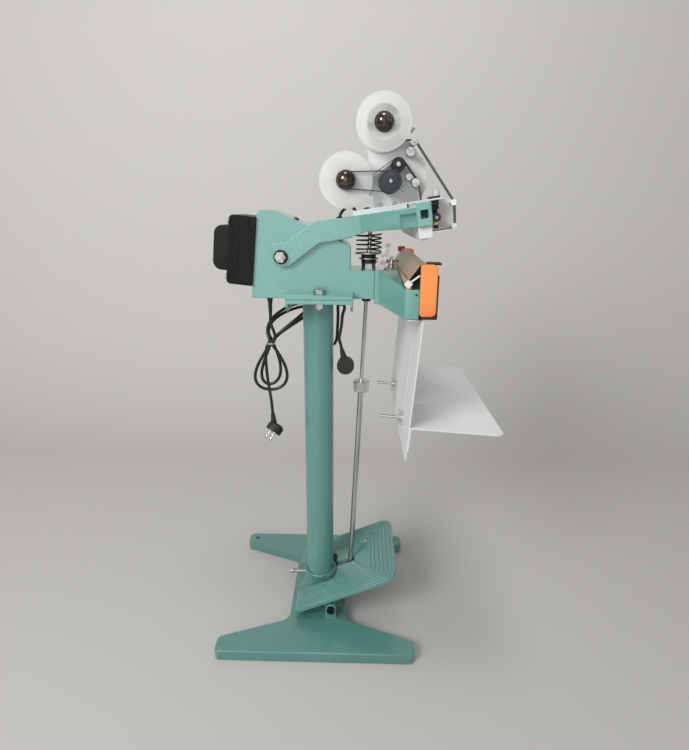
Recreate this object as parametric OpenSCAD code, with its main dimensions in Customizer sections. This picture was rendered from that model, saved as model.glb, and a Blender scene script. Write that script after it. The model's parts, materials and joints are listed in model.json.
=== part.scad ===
// Floor-standing pedal heat sealer with a ribbon date coder on its pressing arm.
// X points to the operator, Y to the operator's right, Z up; the origin is on the floor under the column.

/* [Base] */
// Length of each foot bar, front to back
base_len = 420; // [360:1:480]
// Width over both foot bars
base_w = 416; // [380:1:480]
// Width of a foot bar at its ends
bar_end_w = 40; // [32:1:50]
// Width of a foot bar where it meets the web
bar_mid_w = 96; // [86:1:104]
// Length of the web between the bars, front to back
web_len = 126; // [118:1:150]
// Thickness of the base
base_h = 24; // [20:1:30]
// Wall left round the pockets under the base
base_wall = 8; // [5:1:12]
// Thickness of the base above its pockets
base_skin = 9; // [6:1:14]
// Height of the socket rim above the floor
boss_top = 80; // [64:1:100]
// Wall of the socket round the column
boss_wall = 6.5; // [5:0.5:10]
// Diameter of the socket boss where it meets the base
boss_foot_d = 116; // [100:1:117]
// Diameter of the floor bolt holes in the far bar
floor_hole_d = 11; // [8:0.5:14]
// Distance of a floor bolt hole from the bar's end
floor_hole_inset = 22; // [18:1:40]

/* [Column] */
// Outer diameter of the column tube
column_d = 63; // [56:1:68]
// Wall of the column tube
column_wall = 3; // [2:0.5:5]
// Height of the column's top above the floor
column_top = 732; // [680:1:800]
// Floor of the socket that the column stands on
socket_floor = 10; // [6:1:16]
// Length of the head plate, front to back
head_plate_len = 128; // [116:1:136]
// Width of the head plate
head_plate_w = 184; // [172:2:200]
// Thickness of the head plate
head_plate_t = 8; // [6:1:10]
// Depth of the turned-down lips at the head plate's ends
head_lip_h = 16; // [10:1:24]
// Diameter of the flange bolts
flange_bolt_d = 14; // [10:1:14]
// Size across the flats of the flange bolts' heads
flange_bolt_af = 22; // [18:1:24]

/* [Body] */
// Width of the body casting
body_w = 94; // [90:1:98]
// Height of the body above the head plate
body_h = 161; // [150:1:175]
// Distance of the body's lower rear edge behind the column axis
body_back = 127; // [122:1:140]
// Forward lean of the rear face over its height
rear_lean = 17; // [8:1:24]
// Distance of the body's front wall ahead of the column axis
body_front = 66; // [62:1:76]
// Distance of the neck's front end ahead of the column axis
neck_front = 113; // [112:1:118]
// Height of the neck's shelf above the head plate
shelf_h = 51; // [48:1:54]
// Depth of the body's skirt below the head plate's top
skirt = 4; // [2:1:12]
// Wall of the body casting
body_wall = 5; // [3:0.5:6]
// Thickness of the side flanges of the body
wing_t = 9; // [6:1:12]

/* [Transformer] */
// Height of the laminated core
core_h = 129; // [110:1:136]
// Thickness of the lamination stack
core_stack = 50; // [36:1:64]
// How far the coil stands out of the stack
coil_bulge = 33; // [15:1:36]

/* [Arm] */
// Distance of the arm pivot behind the column axis
pivot_back = 66; // [62:1:70]
// Height of the arm pivot above the head plate
pivot_h = 76; // [74:1:80]
// Angle of the open arm above its closed place
arm_open = 8.5; // [6:0.1:9]
// Distance from the arm pivot to the middle of the jaw
jaw_reach = 256; // [252:1:266]
// Thickness of an arm leg
leg_t = 10; // [8:1:14]
// Diameter of the arm pivot bolts
pivot_bolt_d = 12; // [10:1:14]
// Length of the beam across the arm's front
beam_len = 390; // [380:2:398]
// Thickness of the beam, front to back
beam_t = 24; // [22:1:28]
// Height of the beam
beam_h = 38; // [34:1:44]
// Width of the press bar
press_w = 22; // [18:1:23]
// Width of the soft press pad
pad_w = 12; // [8:1:14]

/* [Jaw] */
// Length of the lower jaw casting
jaw_len = 390; // [384:2:398]
// Thickness of the jaw beam, front to back
jaw_t = 24; // [20:1:28]
// Width of the seal bar's top
seal_w = 12; // [10:1:18]
// Length of the seal bar
seal_len = 377; // [350:1:377]
// Width of the heating element strip
element_w = 6; // [4:1:10]
// Thickness of the heating element strip
element_t = 0.4; // [0.2:0.1:0.6]
// Thickness of the cloth over the element
cloth_t = 0.5; // [0.3:0.1:0.6]

/* [Control panel] */
// Depth of the control housing, front to back
panel_depth = 28; // [24:1:34]
// Thickness of the housing's end cheeks
cheek_t = 6; // [3:0.5:6]
// Thickness of the face plate
face_t = 2.5; // [1.5:0.5:4]
// Diameter of the heat timer knob
knob_d = 26; // [20:1:32]
// Height of the power rocker
rocker_h = 25; // [20:1:30]

/* [Pedal] */
// Width of the pedal plate
pedal_w = 230; // [222:2:240]
// Length of the pedal ahead of its pivot, along the plate
pedal_reach = 169; // [160:1:190]
// Length of the pedal's arms behind the pivot
pedal_tail = 74; // [50:1:80]
// Width of the slot between the pedal's arms
pedal_slot_w = 100; // [96:1:110]
// Thickness of the pedal plate
pedal_t = 9; // [6:1:11]
// Height of the raised ridges on the pedal
ridge_h = 2; // [1:0.5:3]
// Number of nested ridges
ridge_count = 6; // [3:1:6]
// Rest angle of the pedal above level
pedal_rise = 23.3; // [20:0.1:25]
// Distance of the pedal pivot ahead of the column axis
pedal_pivot_x = 30; // [28:1:34]
// Height of the pedal pivot above the floor
pedal_pivot_z = 48; // [46:1:54]
// Diameter of the pedal pivot bolts
pedal_bolt_d = 10; // [8:1:12]

/* [Pull rod] */
// Distance of the rod's foot pin ahead of the column axis
rod_foot_x = 71; // [69:1:73]
// Diameter of the lower rod
rod_d = 12; // [10:1:13]
// Diameter of the upper rod
upper_rod_d = 8; // [6:1:9]
// Distance of the collar's middle from the foot pin, along the rod
collar_at = 482; // [400:1:560]
// Diameter of the knurled collar
collar_d = 34; // [28:1:40]
// Height of the knurled collar
collar_h = 24; // [18:1:30]
// Mean diameter of the return spring
spring_d = 48; // [40:1:52]
// Wire diameter of the return spring
spring_wire = 3; // [2.5:0.1:3.5]
// Number of curls in the return spring
spring_turns = 4; // [3:1:5]

/* [Date coder] */
// Diameter of the clear spool discs
spool_d = 99; // [84:1:100]
// Width of the ribbon
ribbon_w = 30; // [20:1:32]
// Thickness of the ribbon
ribbon_t = 0.4; // [0.3:0.1:0.6]
// Diameter of the ribbon roll on the supply spool
supply_roll_d = 60; // [40:1:70]
// Diameter of the ribbon roll on the take-up spool
takeup_roll_d = 38; // [34:1:60]
// Diameter of the rubber drive wheel
drive_d = 41; // [36:1:44]
// Diameter of the pinch roller
pinch_d = 24; // [18:1:26]
// Thickness of the coder's side plate
coder_plate_t = 4; // [3:0.5:6]

/* [Tray] */
// Width of the tray and its hanger
tray_w = 420; // [380:2:440]
// Depth of the tray's shelf
tray_depth = 169; // [120:1:180]
// Height of the hanger plate
hanger_h = 258; // [250:1:280]
// Thickness of the tray and hanger sheet
sheet_t = 2; // [1.5:0.5:3]
// Lean of the hanger from upright
hanger_lean = 4.2; // [2:0.1:6]
// Distance of the shelf below the hanger's top
shelf_drop = 190; // [170:1:195]
// Distance of a wing nut bolt from the middle
tray_bolt_y = 105; // [80:1:130]

/* [Leads] */
// Diameter of the leads
lead_d = 6.5; // [5:0.5:6.5]
// Number of turns in the hank
hank_turns = 2; // [2:1:3]

/* [Hidden] */

$fn = 48;
eps = 0.01;
fit = 0.05;          // radial clearance of a pin in its bore
slip = 0.3;          // gap between pieces that move past each other
side_gap = 1;        // gap between an arm leg and the body

green = [0.40, 0.61, 0.57];
steel = [0.70, 0.70, 0.72];
black = [0.09, 0.09, 0.10];
white = [0.90, 0.90, 0.90];
tan_cloth = [0.66, 0.55, 0.45];

// Heights and places shared by the head's pieces
deck = column_top + head_plate_t;
plate_mid_x = 8;
plate_x0 = plate_mid_x - head_plate_len / 2;
plate_x1 = plate_mid_x + head_plate_len / 2;
body_z0 = deck - skirt;
body_z1 = deck + body_h;
shelf_z = deck + shelf_h;
pivot_x = -pivot_back;
pivot_z = deck + pivot_h;
jaw_x = pivot_x + jaw_reach;
jaw_z0 = deck - 14;
jaw_end_h = 50;
jaw_front = jaw_x - seal_w / 2;
seal_top = pivot_z;
cloth_lift = element_t + 0.1;
cloth_top = seal_top + cloth_lift + cloth_t;
leg_in = body_w / 2 + side_gap;
leg_out = leg_in + leg_t;
coder_mid_y = -31;
bridge_u = 175;
bridge_w = 22;
bridge_t = 8;

// Flat shapes
function unit(v) = v / norm(v);
function corner(a, b, c, r, n) = r <= 0 ? [b] :
  let (u = unit(a - b), v = unit(c - b), h = acos(u * v) / 2,
       mid = b + unit(u + v) * r / sin(h), p = b + u * r / tan(h) - mid, q = b + v * r / tan(h) - mid,
       a0 = atan2(p.y, p.x), da = (((atan2(q.y, q.x) - a0) % 360) + 540) % 360 - 180)
  [for (i = [0:n]) mid + r * [cos(a0 + da * i / n), sin(a0 + da * i / n)]];
function rounded(p, r, n = 5) = let (k = len(p))
  [for (i = [0:k - 1]) each corner(p[(i + k - 1) % k], p[i], p[(i + 1) % k], is_list(r) ? r[i] : r, n)];
function box2(x0, y0, x1, y1) = [[x0, y0], [x1, y0], [x1, y1], [x0, y1]];
function left_of(v) = [-v.y, v.x] / norm(v);
// Counter-clockwise outline moved inwards by d
function inset(p, d) = let (k = len(p))
  [for (i = [0:k - 1])
    let (m = left_of(p[i] - p[(i + k - 1) % k]), n = left_of(p[(i + 1) % k] - p[i]))
    p[i] + d * (m + n) / (1 + m * n)];
// Outline of a strip of thickness t along a path
function strip(p, t) = let (k = len(p) - 1,
    n = [for (i = [0:k]) let (a = left_of(p[max(i, 1)] - p[max(i, 1) - 1]),
         b = left_of(p[min(i, k - 1) + 1] - p[min(i, k - 1)])) (a + b) / (1 + a * b)])
  concat([for (i = [0:k]) p[i] + n[i] * t / 2], [for (i = [k:-1:0]) p[i] - n[i] * t / 2]);

// Extrusions of an upright outline: xz along Y, yz along X
module xz(y0, y1) { translate([0, y1, 0]) rotate([90, 0, 0]) linear_extrude(y1 - y0) children(); }
module yz(x0, x1) { translate([x0, 0, 0]) rotate([90, 0, 90]) linear_extrude(x1 - x0) children(); }
module rod_y(d, y0, y1) { translate([0, y0, 0]) rotate([-90, 0, 0]) cylinder(d = d, h = y1 - y0); }
module rod_x(d, x0, x1) { translate([x0, 0, 0]) rotate([0, 90, 0]) cylinder(d = d, h = x1 - x0); }
module hex_y(af, y0, y1) {
  translate([0, y0, 0]) rotate([-90, 0, 0]) cylinder(d = af / cos(30), h = y1 - y0, $fn = 6);
}
module hex_z(af, z0, z1) { translate([0, 0, z0]) cylinder(d = af / cos(30), h = z1 - z0, $fn = 6); }
module both_y() { children(); mirror([0, 1, 0]) children(); }
module tube_z(d, bore, z0, z1) {
  difference() {
    translate([0, 0, z0]) cylinder(d = d, h = z1 - z0);
    translate([0, 0, z0 - 1]) cylinder(d = bore, h = z1 - z0 + 2);
  }
}

// Round tubes swept along a path
function ring(c, t, d, sides, ref) = let (n = unit(cross(t, ref)), b = cross(t, n))
  [for (i = [0:sides - 1]) c + d / 2 * (cos(360 * i / sides) * n + sin(360 * i / sides) * b)];
function heading(p, i) = unit(p[min(i + 1, len(p) - 1)] - p[max(i - 1, 0)]);
function curve_point(a, b, c, d, t) = 0.5 * ((2 * b) + (c - a) * t + (2 * a - 5 * b + 4 * c - d) * t * t
  + (3 * b - a - 3 * c + d) * t * t * t);
// Smooth curve through the points of a route, n steps from each to the next
function smooth(p, n) = let (k = len(p) - 1) concat(
  [for (i = [0:k - 1]) for (j = [0:n - 1])
    curve_point(p[max(i - 1, 0)], p[i], p[i + 1], p[min(i + 2, k)], j / n)], [p[k]]);
module sweep(p, d, sides, ref = [0, 1, 0]) {
  k = len(p);
  pts = [for (i = [0:k - 1]) each ring(p[i], heading(p, i), d, sides, ref)];
  side_faces = [for (i = [0:k - 2]) for (j = [0:sides - 1])
    let (a = i * sides + j, b = i * sides + (j + 1) % sides)
    each [[a, b, a + sides], [b, b + sides, a + sides]]];
  start_cap = [for (j = [1:sides - 2]) [0, j + 1, j]];
  last = (k - 1) * sides;
  end_cap = [for (j = [1:sides - 2]) [last, last + j, last + j + 1]];
  polyhedron(pts, concat(side_faces, start_cap, end_cap));
}
// Least gap of a tube to itself, between ring centres that lie at least `apart` rings from each other
function self_gap(p, d, apart) = min([for (i = [0:len(p) - 1]) for (j = [i + apart:1:len(p) - 1])
  norm(p[i] - p[j])]) - d;

// Base

base_pts = let (x = base_len / 2, y = base_w / 2, w = web_len / 2, e = y - bar_end_w, m = y - bar_mid_w)
  [[-x, -y], [x, -y], [x, -e], [w, -m], [w, m], [x, e],
   [x, y], [-x, y], [-x, e], [-w, m], [-w, -m], [-x, -e]];
base_corner_r = [12, 12, 12, 24, 24, 12, 12, 12, 12, 24, 24, 12];
floor_holes = [for (s = [-1, 1]) [s * (base_len / 2 - floor_hole_inset), base_w / 2 - bar_end_w / 2]];
boss_d = column_d + 2 * boss_wall;
socket_d = column_d + 2 * fit;
screw_z = 64;
set_screw_d = 8;
set_screw_len = 34;
set_screw_head_d = 13;
set_screw_head_h = 7;
lug_in = 99;
lug_out = 109;
lug_r = 12;

module boss_outline() {
  rise = boss_top - base_h;
  flare = (boss_foot_d - boss_d) / 2;
  polygon(concat([[0, 1], [boss_foot_d / 2, 1], [boss_foot_d / 2, base_h]],
    [for (a = [10:10:80]) [boss_d / 2 + flare * (1 - sin(a)), base_h + (rise - 8) * (1 - cos(a))]],
    [[boss_d / 2, boss_top - 8], [boss_d / 2, boss_top - 2], [boss_d / 2 - 2, boss_top], [0, boss_top]]));
}

module base_casting() color(green) difference() {
  union() {
    linear_extrude(base_h) polygon(rounded(base_pts, base_corner_r));
    rotate_extrude($fn = 96) boss_outline();
    both_y() translate([pedal_pivot_x, 0, 0]) {
      translate([-lug_r, lug_in, base_h - 1]) cube([2 * lug_r, lug_out - lug_in, pedal_pivot_z - base_h + 1]);
      translate([0, 0, pedal_pivot_z]) rod_y(2 * lug_r, lug_in, lug_out);
    }
  }
  difference() {
    translate([0, 0, -1]) linear_extrude(base_h - base_skin + 1) polygon(inset(base_pts, base_wall));
    translate([0, 0, -2]) cylinder(d = boss_foot_d + 5, h = base_h + 2);
    for (h = floor_holes) translate([h.x, h.y, -2]) cylinder(d = floor_hole_d + 12, h = base_h + 2);
  }
  translate([0, 0, socket_floor]) cylinder(d = socket_d, h = boss_top);
  translate([0, 0, screw_z]) rod_x(set_screw_d + 2 * fit, -boss_foot_d, 0);
  for (h = floor_holes) translate([h.x, h.y, -1]) cylinder(d = floor_hole_d, h = base_h + 2);
  both_y() translate([pedal_pivot_x, 0, pedal_pivot_z])
    rod_y(pedal_bolt_d + 2 * fit, lug_in - 1, lug_out + 1);
}

module column_tube() color(green) tube_z(column_d, column_d - 2 * column_wall, socket_floor, column_top);

module column_set_screw() color(steel) translate([0, 0, screw_z]) {
  tip = -column_d / 2;
  neck = tip - set_screw_len;
  rod_x(set_screw_d, neck, tip);
  rod_x(set_screw_head_d, neck - set_screw_head_h, neck);
}

// Head plate and flange

flange_bolt_y = (head_plate_w / 2 + body_w / 2) / 2 + 1;
flange_head_h = 8;
flange_nut_h = 10;
flange_bolt_end = 14;   // from the head plate's underside down to the bolt's end

module column_head_plate() color(green) difference() {
  lip_t = 5;
  lip_edge = 4;
  union() {
    translate([plate_x0, -head_plate_w / 2, column_top]) cube([head_plate_len, head_plate_w, head_plate_t]);
    for (x = [plate_x0, plate_x1 - lip_t]) yz(x, x + lip_t)
      polygon([[-head_plate_w / 2, column_top + 1], [-head_plate_w / 2, column_top - lip_edge],
        [-head_plate_w / 2 + head_lip_h, column_top - head_lip_h],
        [head_plate_w / 2 - head_lip_h, column_top - head_lip_h],
        [head_plate_w / 2, column_top - lip_edge], [head_plate_w / 2, column_top + 1]]);
  }
  both_y() translate([plate_mid_x, flange_bolt_y, column_top - 1])
    cylinder(d = flange_bolt_d + 1, h = head_plate_t + 2);
  translate([gland_at[1].x, gland_at[1].y, column_top - 1])
    cylinder(d = gland_d + 2 * fit, h = head_plate_t + 2);
}

module flange_bolts() color(steel) both_y() translate([plate_mid_x, flange_bolt_y, 0]) {
  top = deck + wing_t;
  hex_z(flange_bolt_af, top, top + flange_head_h);
  translate([0, 0, column_top - flange_bolt_end])
    cylinder(d = flange_bolt_d, h = top - column_top + flange_bolt_end);
  difference() {
    hex_z(flange_bolt_af, column_top - flange_nut_h, column_top);
    translate([0, 0, column_top - flange_nut_h - 1])
      cylinder(d = flange_bolt_d + 2 * fit, h = flange_nut_h + 2);
  }
}

// Body

// Outline of the body: a crest at the back, a slope from there down to the brow, then the front wall
crest_x = -79;
brow_x = body_front - 20;
brow_z = deck + 106;
brow_drop = 8;
body_pts = [[-body_back, body_z0], [neck_front, body_z0], [neck_front, shelf_z], [body_front, shelf_z],
  [body_front, brow_z - brow_drop], [brow_x, brow_z], [crest_x, body_z1], [rear_lean - body_back, body_z1]];
body_r = [3, 0, 3, 4, 12, 14, 12, 8];
cavity_z0 = deck + wing_t;
cavity_pts = let (w = body_wall, back = body_back + 20)
  [[-back, cavity_z0], [body_front - w, cavity_z0], [body_front - w, brow_z - brow_drop - w],
   [brow_x - w, brow_z - w], [crest_x - w / 4, body_z1 - w], [-back, body_z1 - w]];
rear_angle = atan(rear_lean / (body_h + skirt));
core_mid_z = deck + 84;
core_w = core_h * 5 / 6;
thread_len = 24;
post_y = body_w / 2 - body_wall - 4;
core_r = 8;
post_z = core_h / 2 - core_r - 4;
module at_posts() { both_y() for (s = [-1, 1]) translate([0, post_y, s * post_z]) children(); }

// Frame of the transformer: its front face lies on the body's rear rim, z runs up that rim
module rear_frame() {
  translate([-body_back + (core_mid_z - body_z0) * tan(rear_angle), 0, core_mid_z])
    rotate([0, rear_angle, 0]) children();
}

module body_casting() color(green) difference() {
  union() {
    difference() {
      xz(-body_w / 2, body_w / 2) polygon(rounded(body_pts, body_r));
      xz(-body_w / 2 + body_wall, body_w / 2 - body_wall) polygon(cavity_pts);
    }
    translate([plate_x0, -head_plate_w / 2, deck]) cube([head_plate_len, head_plate_w, wing_t]);
    intersection() {
      rear_frame() at_posts() rod_x(transformer_bolt_d + 7, 0, thread_len + 10);
      xz(-body_w / 2 + eps, body_w / 2 - eps) polygon(rounded(body_pts, body_r));
    }
  }
  translate([plate_x0 - slip, -head_plate_w, body_z0 - 1])
    cube([head_plate_len + 2 * slip, 2 * head_plate_w, deck - body_z0 + 1]);
  both_y() translate([plate_mid_x, flange_bolt_y, deck - 1]) cylinder(d = flange_bolt_d + 1, h = wing_t + 2);
  translate([pivot_x, 0, pivot_z]) rod_y(pivot_bolt_d + 2 * fit, -body_w, body_w);
  rear_frame() at_posts() rod_x(transformer_bolt_d + 2 * fit, -5, thread_len + 2);
  rod_frame() translate([0, 0, -100]) cylinder(d = bush_d + 2 * fit, h = rod_len + 200);
  for (g = gland_at) translate([g.x, g.y, body_z0 - 1])
    cylinder(d = gland_d + 2 * fit, h = cavity_z0 - body_z0 + 2);
}

// Transformer

transformer_bolt_d = 6;
transformer_bolt_af = 10;
transformer_head_h = 5;
leg_h = core_h / 3;
window_y = core_h / 4;

module transformer_core() color(black) rear_frame() difference() {
  xz(-core_w / 2, core_w / 2)
    polygon(rounded(box2(-core_stack, -core_h / 2, 0, core_h / 2), [core_r, 0, 0, core_r]));
  for (s = [-1, 1]) translate([-core_stack - 1, -window_y, s * leg_h * 3 / 4 - leg_h / 4])
    cube([core_stack + 2, 2 * window_y, leg_h / 2]);
  at_posts() rod_x(transformer_bolt_d + 2 * fit, -core_stack - 1, 1);
}

module transformer_coil() color([0.13, 0.13, 0.14]) rear_frame() difference() {
  xz(-window_y + slip, window_y - slip)
    polygon(rounded(box2(-core_stack - coil_bulge, -leg_h + slip, coil_bulge, leg_h - slip), coil_bulge / 2));
  translate([-core_stack - slip, -core_w, -leg_h / 2 - slip])
    cube([core_stack + 2 * slip, 2 * core_w, leg_h + 2 * slip]);
}

module transformer_bolts() color(steel) rear_frame() at_posts() {
  rod_x(transformer_bolt_d, -core_stack, thread_len);
  translate([-core_stack - transformer_head_h, 0, 0]) rotate([0, 90, 0])
    cylinder(d = transformer_bolt_af / cos(30), h = transformer_head_h, $fn = 6);
}

// Arm pivot

washer_t = 3;
washer_d = 27;
pivot_head_af = 19;
pivot_head_h = 8;

module arm_pivot_bolts() color(steel) translate([pivot_x, 0, pivot_z]) both_y() {
  rod_y(pivot_bolt_d, body_w / 2 - body_wall - 3, leg_out + washer_t);
  hex_y(pivot_head_af, leg_out + washer_t, leg_out + washer_t + pivot_head_h);
}

module arm_pivot_washers() color(black) translate([pivot_x, 0, pivot_z]) both_y() difference() {
  rod_y(washer_d, leg_out, leg_out + washer_t);
  rod_y(pivot_bolt_d + 2 * fit, leg_out - 1, leg_out + washer_t + 1);
}

// Lower jaw

neck_depth = 8;      // straight stretch of the neck before the jaw widens
jaw_plan = let (y = jaw_len / 2, n = body_w / 2, back = jaw_front - jaw_t, wide = neck_front + neck_depth)
  [[neck_front, -n], [wide, -n], [back, -y], [jaw_front, -y],
   [jaw_front, y], [back, y], [wide, n], [neck_front, n]];
jaw_face = let (y = jaw_len / 2, n = body_w / 2, e = jaw_z0 + jaw_end_h)
  [[-y, jaw_z0], [y, jaw_z0], [y, e], [n, shelf_z], [-n, shelf_z], [-y, e]];
jaw_wall = 7;
jaw_top = jaw_z0 + jaw_end_h;

module lower_jaw_casting() color(green) difference() {
  intersection() {
    translate([0, 0, jaw_z0]) linear_extrude(shelf_z - jaw_z0)
      polygon(rounded(jaw_plan, [0, 6, 3, 3, 3, 3, 6, 0]));
    yz(neck_front, jaw_front) polygon(jaw_face);
  }
  translate([0, 0, jaw_z0 - 1]) linear_extrude(jaw_end_h - jaw_wall + 1) polygon(inset(jaw_plan, jaw_wall));
  translate([clamp_x - 6, -jaw_len, jaw_top]) cube([jaw_t + 6, 2 * jaw_len, shelf_z]);
  for (t = terminal_at) translate([t.x, t.y, jaw_z0 + jaw_end_h - jaw_wall - 1])
    cylinder(d = terminal_d + 2 * fit, h = 60);
}

seal_web = 6;
seal_drop = 66;

module seal_bar() color([0.78, 0.78, 0.80]) xz(-seal_len / 2, seal_len / 2)
  polygon([[jaw_front, seal_top - seal_drop], [jaw_front + seal_web, seal_top - seal_drop],
    [jaw_front + seal_web, seal_top - seal_web], [jaw_front + seal_w, seal_top - seal_web],
    [jaw_front + seal_w, seal_top], [jaw_front, seal_top]]);

module heating_element() color([0.75, 0.72, 0.68])
  translate([jaw_x - element_w / 2, -seal_len / 2, seal_top]) cube([element_w, seal_len, element_t]);

// Cloth from the clamp bar up over the seal bar and down its front edge
clamp_x = jaw_front - 20;
clamp_h = 15;
cloth_path = let (z = seal_top + cloth_lift + cloth_t / 2, f = jaw_front + seal_w + cloth_t / 2 + 0.1)
  [[clamp_x + 1, jaw_top + clamp_h + cloth_t], [jaw_front - 0.5, z], [f, z], [f, seal_top - 5]];

module ptfe_cloth() color(tan_cloth) xz(-seal_len / 2, seal_len / 2) polygon(strip(cloth_path, cloth_t));

module cloth_clamp_bar() color([0.80, 0.72, 0.62]) xz(-seal_len / 2 - 2, seal_len / 2 + 2)
  polygon([[clamp_x - 3, jaw_top], [clamp_x + 5, jaw_top], [clamp_x + 6, jaw_top + 9],
    [clamp_x, jaw_top + clamp_h], [clamp_x - 5, jaw_top + 9]]);

// Element terminals on the neck
terminal_at = [[neck_front + 13, 18, 20], [neck_front + 36, 36, -35]];
terminal_d = 6;
terminal_h = 20;
terminal_foot = 4;
terminal_root = 10;

function jaw_top_at(y) = shelf_z - (abs(y) <= body_w / 2 ? 0 :
  (abs(y) - body_w / 2) / (jaw_len - body_w) * 2 * (shelf_z - jaw_top));

// Wing nut on a bolt along Z, standing on z 0
wing_nut_span = 36;
wing_nut_h = 13;
wing_nut_t = 3;
module wing_nut(bolt_d) difference() {
  union() {
    cylinder(d = bolt_d + 7, h = wing_nut_h - 4);
    for (s = [-1, 1]) xz(-wing_nut_t / 2, wing_nut_t / 2)
      polygon(rounded([[0, wing_nut_h - 5], [0, 1], [s * (wing_nut_span / 2 - 1), wing_nut_h / 3],
        [s * wing_nut_span / 2, wing_nut_h]], [0, 0, 3, 3]));
  }
  translate([0, 0, -1]) cylinder(d = bolt_d + 2 * fit, h = wing_nut_h + 2);
}

module element_terminals() color(steel) for (t = terminal_at) translate([t.x, t.y, jaw_top_at(t.y)]) {
  cylinder(d = terminal_d + 8, h = terminal_foot);
  translate([0, 0, -terminal_root]) cylinder(d = terminal_d, h = terminal_root + terminal_h);
  translate([0, 0, terminal_foot]) rotate(t.z) wing_nut(terminal_d);
}

link_h = 50;
link_t = 2.5;
link_y = -34;

module feed_trip_link() color([0.74, 0.74, 0.72]) {
  foot = [neck_front + 6, shelf_z];
  top = foot.y + link_h;
  xz(link_y, link_y + link_t)
    polygon(rounded([[foot.x - 4, foot.y], [foot.x + 12, foot.y], [foot.x + 24, top],
      [foot.x + 15, top], [foot.x - 4, foot.y + 10]], [0, 0, 3, 3, 3]));
  translate([foot.x - 4, link_y + link_t - 0.5, shelf_z]) cube([16, 14, link_t]);
  translate([foot.x + 4, link_y + 9, 0]) hex_z(10, shelf_z + link_t, shelf_z + link_t + 5);
}

// Control panel

panel_front = jaw_front + panel_depth;
face_lip = 5;
panel_z0 = jaw_z0 + face_lip;
panel_skin = 2.5;
panel_drop = 14;     // from the seal bar's top down to the housing's roof
panel_top = seal_top - panel_drop;
face_x = panel_front + face_t;
cheek_rise = 0.5;
cheek_top = cloth_top + cheek_rise;
cheek_y = jaw_len / 2;
knob_at = [0, 40, deck + 42];
rocker_at = [0, -150, deck + 44];
lamp_at = [0, -60, deck + 44];
rocker_w = 16;
shaft_d = 6;

module control_housing() color([0.98, 0.58, 0.28]) {
  back = jaw_front + seal_web;
  difference() {
    translate([back, -cheek_y + cheek_t - 0.5, panel_z0])
      cube([panel_front - back, 2 * cheek_y - 2 * cheek_t + 1, panel_top - panel_z0 - slip]);
    translate([back + panel_skin, -cheek_y + cheek_t, panel_z0 + panel_skin])
      cube([panel_depth, 2 * cheek_y - 2 * cheek_t, panel_top - panel_z0 - 2 * panel_skin - slip]);
  }
  both_y() xz(cheek_y - cheek_t, cheek_y)
    polygon(rounded(box2(jaw_front, panel_z0, panel_front, cheek_top), [6, 8, 9, 7]));
}

module control_faceplate() color(black) difference() {
  w = cheek_y - 1;
  top = panel_top - 2;
  lug = rocker_w / 2 + slip;
  union() {
    xz(-w, w) polygon(rounded([[jaw_front + 3, jaw_z0], [face_x, jaw_z0], [face_x, top], [panel_front, top],
      [panel_front, panel_z0], [jaw_front + 3, panel_z0]], [0, 2, 1, 0, 0, 0]));
    for (y = [-lug - rocker_lug_t, lug]) translate([rocker_pivot_x - 3.5, rocker_at.y + y, rocker_at.z - 4])
      cube([panel_front - rocker_pivot_x + 4, rocker_lug_t, 8]);
  }
  translate([rocker_pivot_x, rocker_at.y, rocker_at.z])
    rod_y(rocker_pin_d + 2 * fit, -lug - rocker_lug_t - 1, lug + rocker_lug_t + 1);
  translate(knob_at) rod_x(shaft_d + 2 * fit, panel_front - 1, face_x + 1);
  translate(lamp_at) rod_x(lamp_d + 2 * fit, panel_front - 1, face_x + 1);
  translate([panel_front - 1, rocker_at.y - rocker_w / 2 - slip, rocker_at.z - rocker_h / 2 - slip])
    cube([face_t + 2, rocker_w + 2 * slip, rocker_h + 2 * slip]);
}

lamp_d = 8;

module pilot_lamp() color([0.85, 0.12, 0.08]) translate(lamp_at) {
  rod_x(lamp_d, panel_front - 8, face_x + 2);
  rod_x(lamp_d + 3, face_x, face_x + 1.2);
}

rocker_pivot_x = face_x - 4;
rocker_tilt = 8;
rocker_pin_d = 2.6;
rocker_lug_t = 2;

module power_rocker() color([0.45, 0.05, 0.04])
  translate([rocker_pivot_x, rocker_at.y, rocker_at.z]) rotate([0, rocker_tilt, 0]) {
    end = rocker_h / 2 - 2.5;
    xz(-rocker_w / 2 + slip, rocker_w / 2 - slip)
      polygon(rounded([[-6, -5], [2, -end], [9, -end], [6.5, 0], [9, end], [2, end], [-6, 5]],
        [1, 1, 1, 0, 1, 1, 1]));
    rod_y(rocker_pin_d, -rocker_w / 2 - rocker_lug_t, rocker_w / 2 + rocker_lug_t);
  }

// Fluted grips: the timer's knob on a skirt, and the print head's knob further on
flutes = 12;
flute_d = 2.4;
skirt_h = 5;
knob_h = 20;
pointer_w = 1.6;

module heat_knob() color(black) translate(knob_at) {
  rod_x(shaft_d, panel_front - 8, face_x + 4);
  difference() {
    union() {
      rod_x(knob_d, face_x + slip, face_x + skirt_h);
      rod_x(knob_d - 5, face_x + skirt_h, face_x + knob_h);
    }
    for (i = [0:flutes - 1]) rotate([360 * i / flutes, 0, 0]) translate([0, 0, knob_d / 2 - 2])
      rod_x(flute_d, face_x + skirt_h + 1, face_x + knob_h + 1);
  }
  translate([face_x + knob_h - 0.5, -pointer_w / 2, 2]) cube([1, pointer_w, knob_d / 2 - 6]);
}

// Anvil that backs the bag under the print head, on the face plate
anvil_reach = 26;
anvil_h = 18;
anvil_t = 4;

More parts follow.
